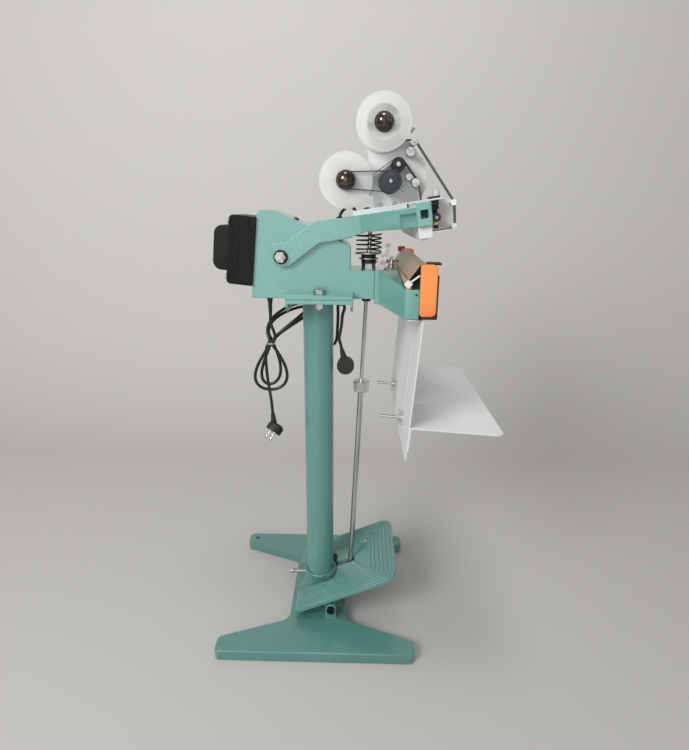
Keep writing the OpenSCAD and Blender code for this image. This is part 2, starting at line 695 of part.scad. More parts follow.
module print_anvil() color(black) {
  top = seal_top - seal_web - 4;
  xz(coder_mid_y - ribbon_w / 2, coder_mid_y + ribbon_w / 2)
    polygon([[face_x, top - anvil_h], [face_x + anvil_t, top - anvil_h], [face_x + anvil_t, top - anvil_t],
      [face_x + anvil_reach, top - anvil_t], [face_x + anvil_reach, top], [face_x, top]]);
}

// Tray

hanger_front = 6.5;
hanger_back = 18;
module hanger_frame() {
  translate([jaw_front + hanger_front, 0, jaw_z0 - sheet_t]) rotate([0, hanger_lean, 0]) children();
}
flange_h = 46;
tray_bolt_drop = shelf_drop + flange_h / 2 - 1;
tray_bolt_d = 6;
tray_bolt_len = 46;
tray_up = 150;
tray_down = 20;

module slot_x(d, z0, z1, x0, x1) {
  for (z = [z0, z1]) translate([0, 0, z]) rod_x(d, x0, x1);
  translate([x0, -d / 2, z0]) cube([x1 - x0, d, z1 - z0]);
}

module tray_hanger() color(white) difference() {
  union() {
    translate([jaw_front - hanger_back, -jaw_len / 2, jaw_z0 - sheet_t])
      cube([hanger_back + hanger_front, jaw_len, sheet_t]);
    hanger_frame() yz(-sheet_t, 0)
      polygon(rounded(box2(-tray_w / 2, -hanger_h, tray_w / 2, 0), [10, 10, 4, 4]));
  }
  hanger_frame() both_y() translate([0, tray_bolt_y, 0])
    slot_x(tray_bolt_d + 1, -tray_bolt_drop - tray_down - 1, -tray_bolt_drop + tray_up + 1, -20, 5);
  hanger_frame() translate([-50, -tray_w, 0]) cube([100, 2 * tray_w, 20]);
}

module tray() color(white) hanger_frame() difference() {
  union() {
    yz(fit, sheet_t) polygon(box2(-tray_w / 2, -shelf_drop - flange_h, tray_w / 2, -shelf_drop));
    translate([0, 0, -shelf_drop - sheet_t]) linear_extrude(sheet_t)
      polygon(rounded(box2(fit, -tray_w / 2, tray_depth, tray_w / 2), [0, 16, 16, 0]));
  }
  both_y() translate([0, tray_bolt_y, -tray_bolt_drop]) rod_x(tray_bolt_d + 2 * fit, -1, sheet_t + 1);
}

module tray_wing_bolts() color(steel) hanger_frame() both_y() translate([0, tray_bolt_y, -tray_bolt_drop]) {
  rod_x(tray_bolt_d, -tray_bolt_len, sheet_t);
  rod_x(tray_bolt_d + 7, sheet_t, sheet_t + 3);
  translate([-sheet_t, 0, 0]) rotate([0, -90, 0]) wing_nut(tray_bolt_d);
}

// Pedal, in its own frame: s along the plate from the pivot, n square to it

pedal_n1 = 31;
pedal_n0 = pedal_n1 - pedal_t;
slot_front = 24;
notch_w = rod_d + 6;
notch_front = 69;
ridge_pitch = 10;
ridge_w = 4;
ear_in = lug_in - 11;
ear_out = lug_in - 1;
clevis_in = 9;
clevis_t = 6;
rod_drop = bridge_u * sin(arm_open) + bridge_w * (cos(arm_open) - 1);
pin_lever = rod_foot_x - pedal_pivot_x;
pin_rise = rod_drop / 2;
pin_d = 8;
pin_play = 0.5;      // gap round the pin across its slot
slot_in = 2.6;       // how far the slot runs from the pin towards the pivot
slot_out = 0.6;
pin_angle = atan(pin_rise / pin_lever) - pedal_rise;
pin_r = norm([pin_lever, pin_rise]);

module pedal_frame() { translate([pedal_pivot_x, 0, pedal_pivot_z]) rotate([0, -pedal_rise, 0]) children(); }
function pedal_outline(e) = rounded(box2(-pedal_tail, -pedal_w / 2 + e, pedal_reach - e, pedal_w / 2 - e),
  [4, max(30 - e, 6), max(30 - e, 6), 4]);
module pedal_slot_outline() {
  polygon(rounded(box2(-pedal_tail - 1, -pedal_slot_w / 2, slot_front, pedal_slot_w / 2), [0, 18, 18, 0]));
  polygon(rounded(box2(slot_front - 1, -notch_w / 2, notch_front, notch_w / 2), [0, 6, 6, 0]));
}

module pedal_plate() color(green) pedal_frame() difference() {
  union() {
    translate([0, 0, pedal_n0]) linear_extrude(pedal_t) difference() {
      polygon(pedal_outline(0));
      pedal_slot_outline();
    }
    translate([0, 0, pedal_n1 - 1]) linear_extrude(ridge_h + 1) intersection() {
      for (i = [0:ridge_count - 1]) difference() {
        polygon(pedal_outline(7 + i * ridge_pitch));
        polygon(pedal_outline(7 + i * ridge_pitch + ridge_w));
      }
      polygon(box2(-pedal_tail + 7, -pedal_w, pedal_reach, pedal_w));
    }
    both_y() {
      xz(ear_in, ear_out)
        polygon(rounded([[-11, -11], [11, -11], [14, pedal_n0 + 1], [-14, pedal_n0 + 1]], [9, 9, 0, 0]));
      xz(clevis_in, clevis_in + clevis_t)
        polygon(rounded([[53, pedal_n0 + 1], [40, 9], [30, 2], [32, -14], [48, -16], [92, pedal_n0 + 1]],
          [0, 6, 8, 8, 8, 0]));
    }
  }
  rod_y(pedal_bolt_d + 2 * fit, -pedal_w, pedal_w);
  rotate([0, -pin_angle, 0]) for (r = [pin_r - slot_in, pin_r + slot_out]) translate([r, 0, 0])
    rod_y(pin_d + 2 * pin_play, -clevis_in - clevis_t - 1, clevis_in + clevis_t + 1);
  rotate([0, -pin_angle, 0]) translate([pin_r - slot_in, -clevis_in - clevis_t - 1, -pin_d / 2 - pin_play])
    cube([slot_in + slot_out, 2 * (clevis_in + clevis_t + 1), pin_d + 2 * pin_play]);
}

pedal_head_af = 16;
pedal_head_h = 7;
module pedal_pivot_bolts() color(black) translate([pedal_pivot_x, 0, pedal_pivot_z]) both_y() {
  rod_y(pedal_bolt_d, ear_in - 2, lug_out);
  hex_y(pedal_head_af, lug_out, lug_out + pedal_head_h);
}

// Pull rod, in its own frame: z along the rod from the foot pin

function from_arm(u, w) =
  [pivot_x + u * cos(arm_open) - w * sin(arm_open), pivot_z + u * sin(arm_open) + w * cos(arm_open)];
bridge_at = from_arm(bridge_u, bridge_w);
rod_foot = [rod_foot_x, 0, pedal_pivot_z + pin_rise];
rod_tilt = atan((bridge_at.x - rod_foot.x) / (bridge_at.y - rod_foot.z));
rod_len = norm([bridge_at.x - rod_foot.x, bridge_at.y - rod_foot.z]);
rod_head = 22;
bush_d = 14;
bush_in = 23;        // how far the bush reaches up into the body
bush_out = 11;
bush_flange_h = 10;
eye_d = 20;
eye_w = 14;
rod_washer_d = 20;
rod_washer_t = 2;
rod_nut_af = 13;
rod_nut_h = 7;
collar_chamfer = 2;
collar_flutes = 18;
function rod_x_at(z) = rod_foot.x + (z - rod_foot.z) * tan(rod_tilt);

module rod_frame() { translate(rod_foot) rotate([0, rod_tilt, 0]) children(); }

module rod_lower() color(steel) rod_frame() difference() {
  union() {
    rod_y(eye_d, -eye_w / 2, eye_w / 2);
    cylinder(d = rod_d, h = collar_at);
  }
  rod_y(pin_d + 2 * fit, -eye_w, eye_w);
}

module rod_pin_and_nut() color(steel) rod_frame() {
  end = clevis_in + clevis_t + 1;
  rod_y(pin_d, -end, end);
  both_y() rod_y(pin_d + 5, end - eps, end + 3);
  translate([0, 0, rod_len + bridge_t + 3]) difference() {
    union() {
      cylinder(d = rod_washer_d, h = rod_washer_t);
      hex_z(rod_nut_af, rod_washer_t, rod_washer_t + rod_nut_h);
    }
    translate([0, 0, -1]) cylinder(d = upper_rod_d + 2 * fit, h = rod_washer_t + rod_nut_h + 2);
  }
}

module rod_upper() color(steel) rod_frame() translate([0, 0, collar_at])
  cylinder(d = upper_rod_d, h = rod_len + rod_head - collar_at);

module collar_outline(r, c) {
  polygon([[0, 0], [r - c, 0], [r, c], [r, collar_h - c], [r - c, collar_h], [0, collar_h]]);
}
module collar_frame() { rod_frame() translate([0, 0, collar_at - collar_h / 2]) children(); }
module rod_collar() color([0.80, 0.80, 0.80]) collar_frame() difference() {
  rotate_extrude($fn = 72) collar_outline(collar_d / 2, collar_chamfer);
  translate([0, 0, -1]) cylinder(d = rod_d + 2 * fit, h = collar_h / 2 + 1);
  cylinder(d = upper_rod_d + 2 * fit, h = collar_h + 1);
  for (i = [0:collar_flutes - 1]) rotate(360 * i / collar_flutes)
    translate([collar_d / 2 + 0.4, 0, collar_chamfer + 1])
      cylinder(d = 3, h = collar_h - 2 * collar_chamfer - 2);
}

module rod_guide_bush() color(black) rod_frame() {
  bottom = (body_z0 - rod_foot.z) / cos(rod_tilt);
  difference() {
    union() {
      translate([0, 0, bottom - 3]) cylinder(d = bush_d, h = bush_in + 3);
      translate([0, 0, bottom - bush_out]) cylinder(d = bush_d + 4, h = bush_flange_h);
    }
    cylinder(d = upper_rod_d + 2 * fit, h = rod_len);
  }
}

// Buffer stack and return spring on the shelf
stack_x = rod_x_at(shelf_z + 16);
stack_bore = upper_rod_d + 3;
nut_h = 10;
nut_af = 24;
rubber_d = 29;
rubber_h = 8;
disc_d = 38;
disc_t = 2.5;
rubber1_z = shelf_z + nut_h;
disc2_z = rubber1_z + rubber_h;
rubber2_z = disc2_z + disc_t;
disc1_z = rubber2_z + rubber_h;
spring_z0 = disc1_z + disc_t;
spring_z1 = from_arm(bridge_u, bridge_w).y - (spring_d + spring_wire) / 2 * tan(arm_open) - 0.4;

module rubber_buffers() color(black) translate([stack_x, 0, 0]) {
  tube_z(rubber_d, stack_bore, rubber1_z, rubber1_z + rubber_h);
  tube_z(rubber_d, stack_bore, rubber2_z, rubber2_z + rubber_h);
}

module buffer_washers() color(steel) translate([stack_x, 0, 0]) {
  difference() {
    hex_z(nut_af, shelf_z, shelf_z + nut_h);
    translate([0, 0, shelf_z - 1]) cylinder(d = stack_bore, h = nut_h + 2);
  }
  tube_z(disc_d, stack_bore, disc2_z, disc2_z + disc_t);
  tube_z(spring_d + spring_wire + 3, stack_bore, disc1_z, disc1_z + disc_t);
}

spring_steps = 8;
spring_path = let (n = spring_turns * spring_steps,
                   z0 = spring_z0 + spring_wire / 2 + 0.1, z1 = spring_z1 - spring_wire / 2)
  [for (i = [0:n]) let (a = 360 * i / spring_steps)
    [stack_x + spring_d / 2 * cos(a), spring_d / 2 * sin(a), z0 + (z1 - z0) * i / n]];
module return_spring() color(black) {
  echo(return_spring_self_gap = self_gap(spring_path, spring_wire, spring_steps - 1));
  sweep(spring_path, spring_wire, 6, [0, 0, 1]);
}

// Pressing arm, in its own closed frame: u forward from the pivot, w up

arm_top = 54;
arm_web = 8;
leg_end = 162;
flare_u = 157;
beam_back = 8;
beam_u0 = jaw_reach - beam_back;
beam_u1 = beam_u0 + beam_t;
beam_mid = (beam_u0 + beam_u1) / 2;
beam_w0 = 23;
wall_t = 9;
wall_w0 = 23;
pad_gap = 0.5;
pad_w0 = cloth_top - pivot_z + pad_gap;
pad_h = 7;
press_inset = 8;
socket_w = 13;
web_u0 = 84;
web_u1 = 150;
socket_len = 40;
socket_rise = 13;    // from the beam's underside up to its end sockets
bridge_back = 22;
bridge_front = 14;
rod_sway = 5;        // half the length of the rod's slot in the bridge
press_w0 = pad_w0 + 3;

module arm_frame() { translate([pivot_x, 0, pivot_z]) rotate([0, -arm_open, 0]) children(); }
leg_pts = [[-17, -18], [13, -19], [76, 14.5], [131, 15.5], [leg_end, bridge_w], [leg_end, arm_top],
  [70, arm_top], [14, 27], [-13, 27]];
leg_r = [16, 16, 12, 6, 0, 0, 14, 0, 9];
flare_dir = unit([beam_u0 - flare_u, beam_len / 2 - leg_out]);
flare_len = norm([beam_u0 - flare_u, beam_len / 2 - leg_out]);
recess_from = flare_len * 0.72;
recess_depth = 5;
function flare_at(along, deep) = [flare_u + along * flare_dir.x + deep * flare_dir.y,
  leg_out + along * flare_dir.y - deep * flare_dir.x];

module arm_casting() color(green) arm_frame() difference() {
  union() {
    both_y() xz(leg_in, leg_out) polygon(rounded(leg_pts, leg_r));
    translate([web_u0, -leg_in - 1, arm_top - arm_web]) cube([leg_end - web_u0, 2 * leg_in + 2, arm_web]);
    translate([0, 0, arm_top - arm_web]) linear_extrude(arm_web)
      polygon([[web_u1, -leg_out], [flare_u, -leg_out], [beam_u0 + 1, -beam_len / 2],
        [beam_u0 + 1, beam_len / 2], [flare_u, leg_out], [web_u1, leg_out]]);
    translate([0, 0, wall_w0]) linear_extrude(arm_top - wall_w0) both_y()
      polygon([flare_at(0, 0), flare_at(flare_len, 0), flare_at(flare_len, wall_t), flare_at(0, wall_t)]);
    translate([bridge_u - bridge_back, -leg_in - 1, bridge_w])
      cube([bridge_back + bridge_front, 2 * leg_in + 2, bridge_t]);
    translate([beam_u0, -beam_len / 2, beam_w0]) cube([beam_t, beam_len, beam_h]);
  }
  rod_y(pivot_bolt_d + 2 * fit, -2 * body_w, 2 * body_w);
  both_y() translate([beam_mid - socket_w / 2, beam_len / 2 - socket_len, beam_w0 + socket_rise])
    cube([socket_w, socket_len + 1, socket_w]);
  translate([0, 0, wall_w0 - 1]) linear_extrude(arm_top - arm_web - wall_w0 + 1) both_y()
    polygon([flare_at(recess_from, -1), flare_at(flare_len - 3, -1), flare_at(flare_len - 3, recess_depth),
      flare_at(recess_from, recess_depth)]);
  for (s = [-1, 1]) translate([bridge_u + s * rod_sway, 0, bridge_w - 1])
    cylinder(d = upper_rod_d + 3, h = bridge_t + 2);
  translate([bridge_u - rod_sway, -upper_rod_d / 2 - 1.5, bridge_w - 1])
    cube([2 * rod_sway, upper_rod_d + 3, bridge_t + 2]);
}

module press_bar() color(white) arm_frame() difference() {
  y = beam_len / 2 - press_inset;
  translate([beam_mid - press_w / 2, -y, press_w0]) cube([press_w, 2 * y, beam_w0 - press_w0]);
  translate([jaw_reach - pad_w / 2, -y + press_inset, press_w0 - 1])
    cube([pad_w, 2 * (y - press_inset), pad_w0 + pad_h - press_w0 + 1]);
}

module press_pad() color(white) arm_frame() {
  y = beam_len / 2 - 2 * press_inset;
  translate([jaw_reach - pad_w / 2, -y, pad_w0]) cube([pad_w, 2 * y, pad_h]);
}

// Date coder, in the arm's frame

coder_w0 = arm_top + 3;
side_y = -8;
side_y0 = side_y - coder_plate_t;
ribbon_y0 = coder_mid_y - ribbon_w / 2;
ribbon_y1 = coder_mid_y + ribbon_w / 2;
supply_at = [221.5, 204.5];
takeup_at = [141, 118];
drive_at = [221, 104];
pinch_gap = 0.3;
pinch_at = drive_at + ((drive_d + pinch_d) / 2 + pinch_gap) * unit([20, 30]);
post_at = [[271, 164, 5], [263, 149, 6.5], [256, 107, 4.5], [267, 95.7, 6]];
drop_gap = 10;       // gap between the beam and the ribbon that rises in front of it
drop_u = beam_u1 + drop_gap;
bracket_reach = 50;
front_post_at = [[drop_u + bracket_reach, 52], [drop_u + bracket_reach - 2, 10], [drop_u, 10]];
front_post_r = 3.5;
head_u = drop_u + 18;
carrier_t = 3;
carrier_w0 = beam_w0 + beam_h;
carrier_w1 = carrier_w0 + carrier_t;
base_plate_u0 = 146;
plate_y0 = -52;
plate_w = 90;
plate_lip_t = 2.5;
plate_lip_h = 9;
riser_u = beam_u0 - 10;
riser_t = 8;
side_u0 = 188;
side_foot_w = 26;

module at_uw(p) { translate([p.x, 0, p.y]) children(); }

module coder_base_plate() color(white) arm_frame() difference() {
  carrier_y = ribbon_y0 - 7;
  carrier_w = side_y + 3 - carrier_y;
  union() {
    translate([base_plate_u0, plate_y0, arm_top])
      cube([beam_u0 - base_plate_u0 - 1, plate_w, coder_w0 - arm_top]);
    translate([riser_u, carrier_y, carrier_w0]) cube([head_u - riser_u + 10, carrier_w, carrier_t]);
    translate([riser_u, carrier_y, arm_top]) cube([riser_t, carrier_w, carrier_w0 - arm_top + 1]);
    translate([base_plate_u0, plate_y0, arm_top])
      cube([riser_u - base_plate_u0 + 1, plate_lip_t, plate_lip_h]);
  }
  translate([riser_u + riser_t, side_y0 - slip, arm_top - 1])
    cube([1, coder_plate_t + 2 * slip, carrier_t + 1]);
  translate([drop_u - 9, ribbon_y0 - 1, carrier_w0 - 1]) cube([12, ribbon_w + 2, carrier_t + 2]);
  translate([riser_u - 1, side_y0 - slip, coder_w0]) cube([riser_t + 2, coder_plate_t + 2 * slip, 20]);
}

// Outline of the side plate: its foot steps over the riser on to the carrier, its head is a rounded lobe
// round the supply spindle
lobe_rise = 14;
lobe_half = 12;
lobe_shoulder = 29;
lobe_back_drop = 22;
side_pts = let (step = riser_u + riser_t, front = drop_u + 10, top = supply_at.y + lobe_rise)
  [[side_u0, coder_w0], [step, coder_w0], [step, carrier_w1], [front - 16, carrier_w1],
   [front, drive_at.y - lobe_half], [front, pinch_at.y],
   [supply_at.x + lobe_shoulder, supply_at.y - lobe_half], [supply_at.x + lobe_half, top],
   [supply_at.x - lobe_half, top], [side_u0, supply_at.y - lobe_back_drop]];
module coder_side_plate() color([0.80, 0.80, 0.82]) arm_frame() difference() {
  union() {
    xz(side_y0, side_y) polygon(rounded(side_pts, [0, 0, 0, 0, 6, 8, 8, 12, 14, 10]));
    xz(side_y0, side_y)
      polygon(rounded([takeup_at - [lobe_rise, lobe_rise], [side_u0 + 2, drive_at.y - lobe_back_drop + 2],
        [side_u0 + 2, takeup_at.y + lobe_back_drop], takeup_at + [-lobe_rise, lobe_rise]], [10, 0, 0, 10]));
    translate([side_u0 + 6, side_y - 1, coder_w0]) cube([riser_u - side_u0 - 7, side_foot_w, carrier_t]);
  }
  for (p = [supply_at, takeup_at, drive_at, pinch_at]) at_uw(p)
    rod_y(spindle_d + 2 * fit, side_y0 - 1, side_y + 1);
}

spindle_d = 8;

module coder_posts() color(steel) arm_frame() {
  for (p = post_at) at_uw(p) {
    rod_y(2 * p[2], ribbon_y0 - 2, side_y0);
    rod_y(2 * p[2] + 3, ribbon_y0 - 4, ribbon_y0 - 2);
  }
}

module coder_front_bracket() color([0.80, 0.80, 0.82]) arm_frame() {
  xz(side_y0, side_y)
    polygon(rounded([[drop_u - 6, beam_w0 + beam_h], [drop_u - 6, 4], [front_post_at[1].x + 6, 4],
      [front_post_at[0].x + 6, 56], [head_u + 22, beam_w0 + beam_h]], [0, 5, 5, 5, 5]));
  for (p = front_post_at) at_uw(p) {
    rod_y(2 * front_post_r, ribbon_y0 - 2, side_y0);
    rod_y(2 * front_post_r + 4, ribbon_y0 - 4, ribbon_y0 - 2);
  }
}

// Print head: a block under the carrier, a neck and the type holder, each given by depth, width and lower end
head_w = 24;
head_w0 = 52;
neck_w0 = 44;
type_w0 = 10;
module print_head() color(black) arm_frame() {
  y0 = coder_mid_y - head_w / 2;
  translate([head_u - 8, y0, head_w0]) cube([14, head_w, beam_w0 + beam_h - head_w0]);
  translate([head_u - 7, y0 + 1, neck_w0]) cube([12, head_w - 2, head_w0 - neck_w0]);
  translate([head_u - 5, y0 + 4, type_w0]) cube([7, head_w - 8, neck_w0 - type_w0]);
}

head_knob_d = 17;
head_knob_at = [head_u - 1.5, coder_mid_y - head_w / 2, 30];
module head_knob() color(black) arm_frame() translate(head_knob_at) difference() {
  rod_y(head_knob_d, -8, 4 - slip);
  for (i = [0:flutes - 1]) rotate([0, 360 * i / flutes, 0]) translate([head_knob_d / 2 + 0.3, 0, 0])
    rod_y(flute_d, -9, 5);
}

// Path of the ribbon from circle to circle: each is [u, w, radius, side], side 1 left of the run
ribbon_lift = ribbon_t / 2 + 0.1;
wrap_step = 12;      // angle of one facet where the ribbon wraps a circle
ribbon_stops = [[supply_at.x, supply_at.y, supply_roll_d / 2, 1],
  [post_at[0].x, post_at[0].y, post_at[0][2], -1],
  for (p = front_post_at) [p.x, p.y, front_post_r, -1], [post_at[3].x, post_at[3].y, post_at[3][2], 1],
  [pinch_at.x, pinch_at.y, pinch_d / 2, 1], [takeup_at.x, takeup_at.y, takeup_roll_d / 2, -1]];
function stop_r(c) = c[3] * (c[2] + ribbon_lift);
function run_angle(a, b) = let (d = [b.x - a.x, b.y - a.y])
  atan2(d.y, d.x) - asin((stop_r(b) - stop_r(a)) / norm(d));
function touch(c, angle) = [c.x, c.y] - stop_r(c) * [-sin(angle), cos(angle)];
function turned(from, to, side) = let (d = (((to - from) * side) % 360 + 360) % 360) d * side;
ribbon_path = let (k = len(ribbon_stops) - 1,
                   runs = [for (i = [0:k - 1]) run_angle(ribbon_stops[i], ribbon_stops[i + 1])])
  concat([touch(ribbon_stops[0], runs[0])],
    [for (i = [1:k - 1])
      let (c = ribbon_stops[i], wrap = turned(runs[i - 1], runs[i], c[3]),
           steps = ceil(abs(wrap) / wrap_step))
      for (j = [0:steps]) touch(c, runs[i - 1] + wrap * j / steps)],
    [touch(ribbon_stops[k], runs[k - 1])]);
module ribbon() color([0.16, 0.15, 0.14]) arm_frame() xz(ribbon_y0, ribbon_y1)
  polygon(strip(ribbon_path, ribbon_t));

// Belt from the drive wheel's pulley to the take-up pulley
belt_y0 = ribbon_y0 - 12;
belt_y1 = ribbon_y0 - 6;
drive_pulley_d = 34;
takeup_pulley_d = 26;
belt_t = 1.6;
belt_gap = 0.3;
module belt_outline(grow) {
  a = drive_at;
  b = takeup_at;
  ra = drive_pulley_d / 2 + belt_gap + grow;
  rb = takeup_pulley_d / 2 + belt_gap + grow;
  run = norm(b - a);
  dir = atan2(b.y - a.y, b.x - a.x);
  spread = acos((ra - rb) / run);
  polygon(concat(
    [for (i = [0:24]) let (t = dir + spread + (360 - 2 * spread) * i / 24) a + ra * [cos(t), sin(t)]],
    [for (i = [0:16]) let (t = dir - spread + 2 * spread * i / 16) b + rb * [cos(t), sin(t)]]));
}
module takeup_belt() color(black) arm_frame() xz(belt_y0 + 1, belt_y1 - 1) difference() {
  belt_outline(belt_t);
  belt_outline(0);
}

cheek_disc_t = 1.2;
module spool_discs() {
  rod_y(spool_d, ribbon_y0 - 3, ribbon_y0 - 3 + cheek_disc_t);
  rod_y(spool_d, ribbon_y1 + 1.2, ribbon_y1 + 1.2 + cheek_disc_t);
}

hub_d = 30;
hub_h = 16;
// Spool on a spindle: a roll of ribbon between two discs and a domed hub nut that begins at y0
module spool(roll_d, y0) {
  rod_y(spindle_d, ribbon_y0 - 4, side_y + 6);
  spool_discs();
  rod_y(roll_d, ribbon_y0 - 2, ribbon_y1 + 1.5);
  translate([0, y0, 0]) rotate([90, 0, 0]) rotate_extrude() polygon(concat([[0, -0.5], [hub_d / 2, -0.5]],
    [for (a = [0:15:75]) [hub_d / 2 * cos(a), hub_h * (0.3 + 0.7 * sin(a))]], [[0, hub_h]]));
}

module supply_spool() color([0.88, 0.90, 0.92]) arm_frame() at_uw(supply_at)
  spool(supply_roll_d, ribbon_y0 - 3);

module takeup_spool() color([0.88, 0.90, 0.92]) arm_frame() at_uw(takeup_at) {
  spool(takeup_roll_d, ribbon_y0 - 14);
  rod_y(takeup_pulley_d, ribbon_y0 - 14, ribbon_y0 - 2.5);
}

module drive_wheel() color(black) arm_frame() {
  at_uw(drive_at) {
    rod_y(spindle_d, ribbon_y0 - 4, side_y + 6);
    rod_y(drive_d, ribbon_y0, ribbon_y1);
    rod_y(drive_pulley_d, ribbon_y0 - 14, ribbon_y0 + 1);
    rod_y(drive_d - 1, ribbon_y0 - 22, ribbon_y0 - 13.5);
  }
}

module pinch_roller() color(black) arm_frame() at_uw(pinch_at) {
  rod_y(spindle_d, ribbon_y0 - 2, side_y + 3);
  rod_y(pinch_d, ribbon_y0, ribbon_y1);
}

// Leads: routes as points in millimetres, heights measured from the head plate's top

gland_d = 12;
// Each gland's place and the height of the face it hangs from: the body's floor, and the column's head plate
gland_at = [[-97, -12, body_z0], [22, 37, column_top]];
gland_drop = 16;
gland_nut_h = 5;
function gland_end(g) = [g.x, g.y, g.z - gland_drop - deck];
tie_at = [-99, -12, -104];
tie_depth = 28;      // depth of the bundle of strands in the tie
lead_sides = 8;
function from_deck(p) = [for (q = p) [q.x, q.y, deck + q.z]];

// Hank of the mains lead, tied where its strands cross: [half width, reach, shift along X] of the lobe
// below the tie in each turn, and of the lobe above it that swings behind the column
lobe_low = [[34, 103, -4], [20, 95, -8], [27, 99, -6]];
lobe_high = [[26, 76, 68], [27, 66, 74], [28, 58, 78]];
high_back = 36;
hank_step = tie_depth / hank_turns;
hank_rings = 24;
hank_path = [for (i = [0:hank_rings * hank_turns])
  let (a = 90 + 360 * i / hank_rings, up = cos(a) > eps, turn = min(floor(i / hank_rings), hank_turns - 1),
       lobe = up ? lobe_high[turn] : lobe_low[turn], far = pow(cos(a), 2))
  [tie_at.x + lobe.x * sin(2 * a) + far * lobe.z,
   tie_at.y + hank_step * i / hank_rings + (up ? high_back * far : 0), tie_at.z + lobe.y * cos(a)]];
hank_last = len(hank_path) - 1;
hank_in = unit(hank_path[1] - hank_path[0]);
hank_out = unit(hank_path[hank_last] - hank_path[hank_last - 1]);

plug_lean = 4;
plug_down = [sin(plug_lean), 0, -cos(plug_lean)];
plug_at = [-102, 0, -266];
coder_plug_lean = 13;
coder_plug_down = [sin(coder_plug_lean), 0, -cos(coder_plug_lean)];
coder_plug_at = [49, -3, -117];

run_route = [gland_end(gland_at[0]), [-97, -12, -40], [-97, -12, -62],
  tie_at - 24 * hank_in, tie_at - 12 * hank_in, tie_at];
tail_route = let (end = hank_path[hank_last]) [end, end + 10 * hank_out, end + 20 * hank_out,
  [-114, 20, -160], [-112, 14, -196], plug_at - 32 * plug_down, plug_at - 16 * plug_down, plug_at];
coder_route = [gland_end(gland_at[1]), [21, 39, -46], [15, 45, -80], [13, 49, -106], [22, 48, -121],
  [32, 41, -110], [38, 28, -80], [40, 18, -48], [40.5, 12.5, -28], [42.4, 10.6, -22.4], [47, 8.5, -20.5],
  [51.6, 6.6, -22.4], [53.5, 5, -28], [53, 3, -50], [51, 0, -80], coder_plug_at - 24 * coder_plug_down,
  coder_plug_at - 12 * coder_plug_down, coder_plug_at];

module lead_glands() color(black) for (g = gland_at) translate([g.x, g.y, g.z]) difference() {
  union() {
    translate([0, 0, -gland_nut_h]) cylinder(d = gland_d, h = gland_nut_h + cavity_z0 - g.z);
    translate([0, 0, -gland_nut_h]) cylinder(d = gland_d + 6, h = gland_nut_h);
    translate([0, 0, -gland_drop]) cylinder(d1 = lead_d + 2, d2 = gland_d, h = gland_drop - gland_nut_h);
  }
  translate([0, 0, 2]) cylinder(d = lead_d, h = cavity_z0);
}

module mains_lead_run() color(black) sweep(from_deck(smooth(run_route, 3)), lead_d, lead_sides);
module mains_lead_tail() color(black) sweep(from_deck(smooth(tail_route, 3)), lead_d, lead_sides);
module coder_lead() color(black) sweep(from_deck(smooth(coder_route, 3)), lead_d, lead_sides, [0.2, 1, 0.1]);
module mains_lead_hank() color(black) {
  echo(mains_lead_hank_self_gap = self_gap(hank_path, lead_d, 6));
  sweep(from_deck(hank_path), lead_d, lead_sides);
}

// Wire tie round the hank's crossing, and the clip under the head plate that the coder's lead hangs in
tie_h = 4;
tie_t = 1.2;
clip_at = coder_route[10];
clip_d = lead_d + 4;
clip_w = 3;
clip_drop = 1.1;     // from the top of the lead's bend down to the ring's centre
module lead_tie() color([0.20, 0.20, 0.20]) {
  w = lead_d + 7;
  l = tie_depth + lead_d + 2;
  translate([tie_at.x, tie_at.y + tie_depth / 2, deck + tie_at.z - tie_h / 2])
    linear_extrude(tie_h) difference() {
      polygon(rounded(box2(-w / 2 - tie_t, -l / 2 - tie_t, w / 2 + tie_t, l / 2 + tie_t), 4));
      polygon(rounded(box2(-w / 2, -l / 2, w / 2, l / 2), 3));
    }
  lift = clip_at.z - clip_drop;
  along = coder_route[11] - coder_route[9];
  translate([clip_at.x, clip_at.y, deck + lift]) rotate([0, 0, atan2(along.y, along.x)]) difference() {
    union() {
      rod_x(clip_d + 3, -clip_w / 2, clip_w / 2);
      translate([-clip_w / 2, -3, 0]) cube([clip_w, 6, -lift - head_plate_t]);
    }
    rod_x(clip_d, -clip_w, clip_w);
  }
}

// Plugs, each hung from its lead's end
module hung(at, lean) { translate([at.x, at.y, deck + at.z]) rotate([0, -lean, 0]) children(); }
boot_h = 22;
plug_d = 36;
plug_h = 20;
plug_tip = 133;
plug_turn = 218;
plug_bevel = 5;
pin_pitch = 19;
plug_pin_d = 4.8;
module mains_plug() color(black) hung(plug_at, plug_lean) {
  mirror([0, 0, 1]) cylinder(d1 = lead_d + 2, d2 = lead_d + 7, h = boot_h);
  translate([2, 0, -boot_h - 12]) rotate([0, 0, plug_turn]) rotate([0, plug_tip, 0]) {
    translate([0, 0, -plug_h / 2]) cylinder(d1 = plug_d - 2 * plug_bevel, d2 = plug_d, h = plug_bevel);
    translate([0, 0, -plug_h / 2 + plug_bevel]) cylinder(d = plug_d, h = plug_h - plug_bevel);
    for (y = [-pin_pitch / 2, pin_pitch / 2]) translate([0, y, plug_h / 2 - 1])
      cylinder(d = plug_pin_d, h = pin_pitch + 1);
  }
}

module coder_plug() color(black) hung(coder_plug_at, coder_plug_lean) {
  mirror([0, 0, 1]) cylinder(d1 = lead_d + 2, d2 = lead_d + 8, h = boot_h);
  translate([0, 0, -plug_d]) rod_y(plug_d, -plug_h / 2, plug_h / 2);
}

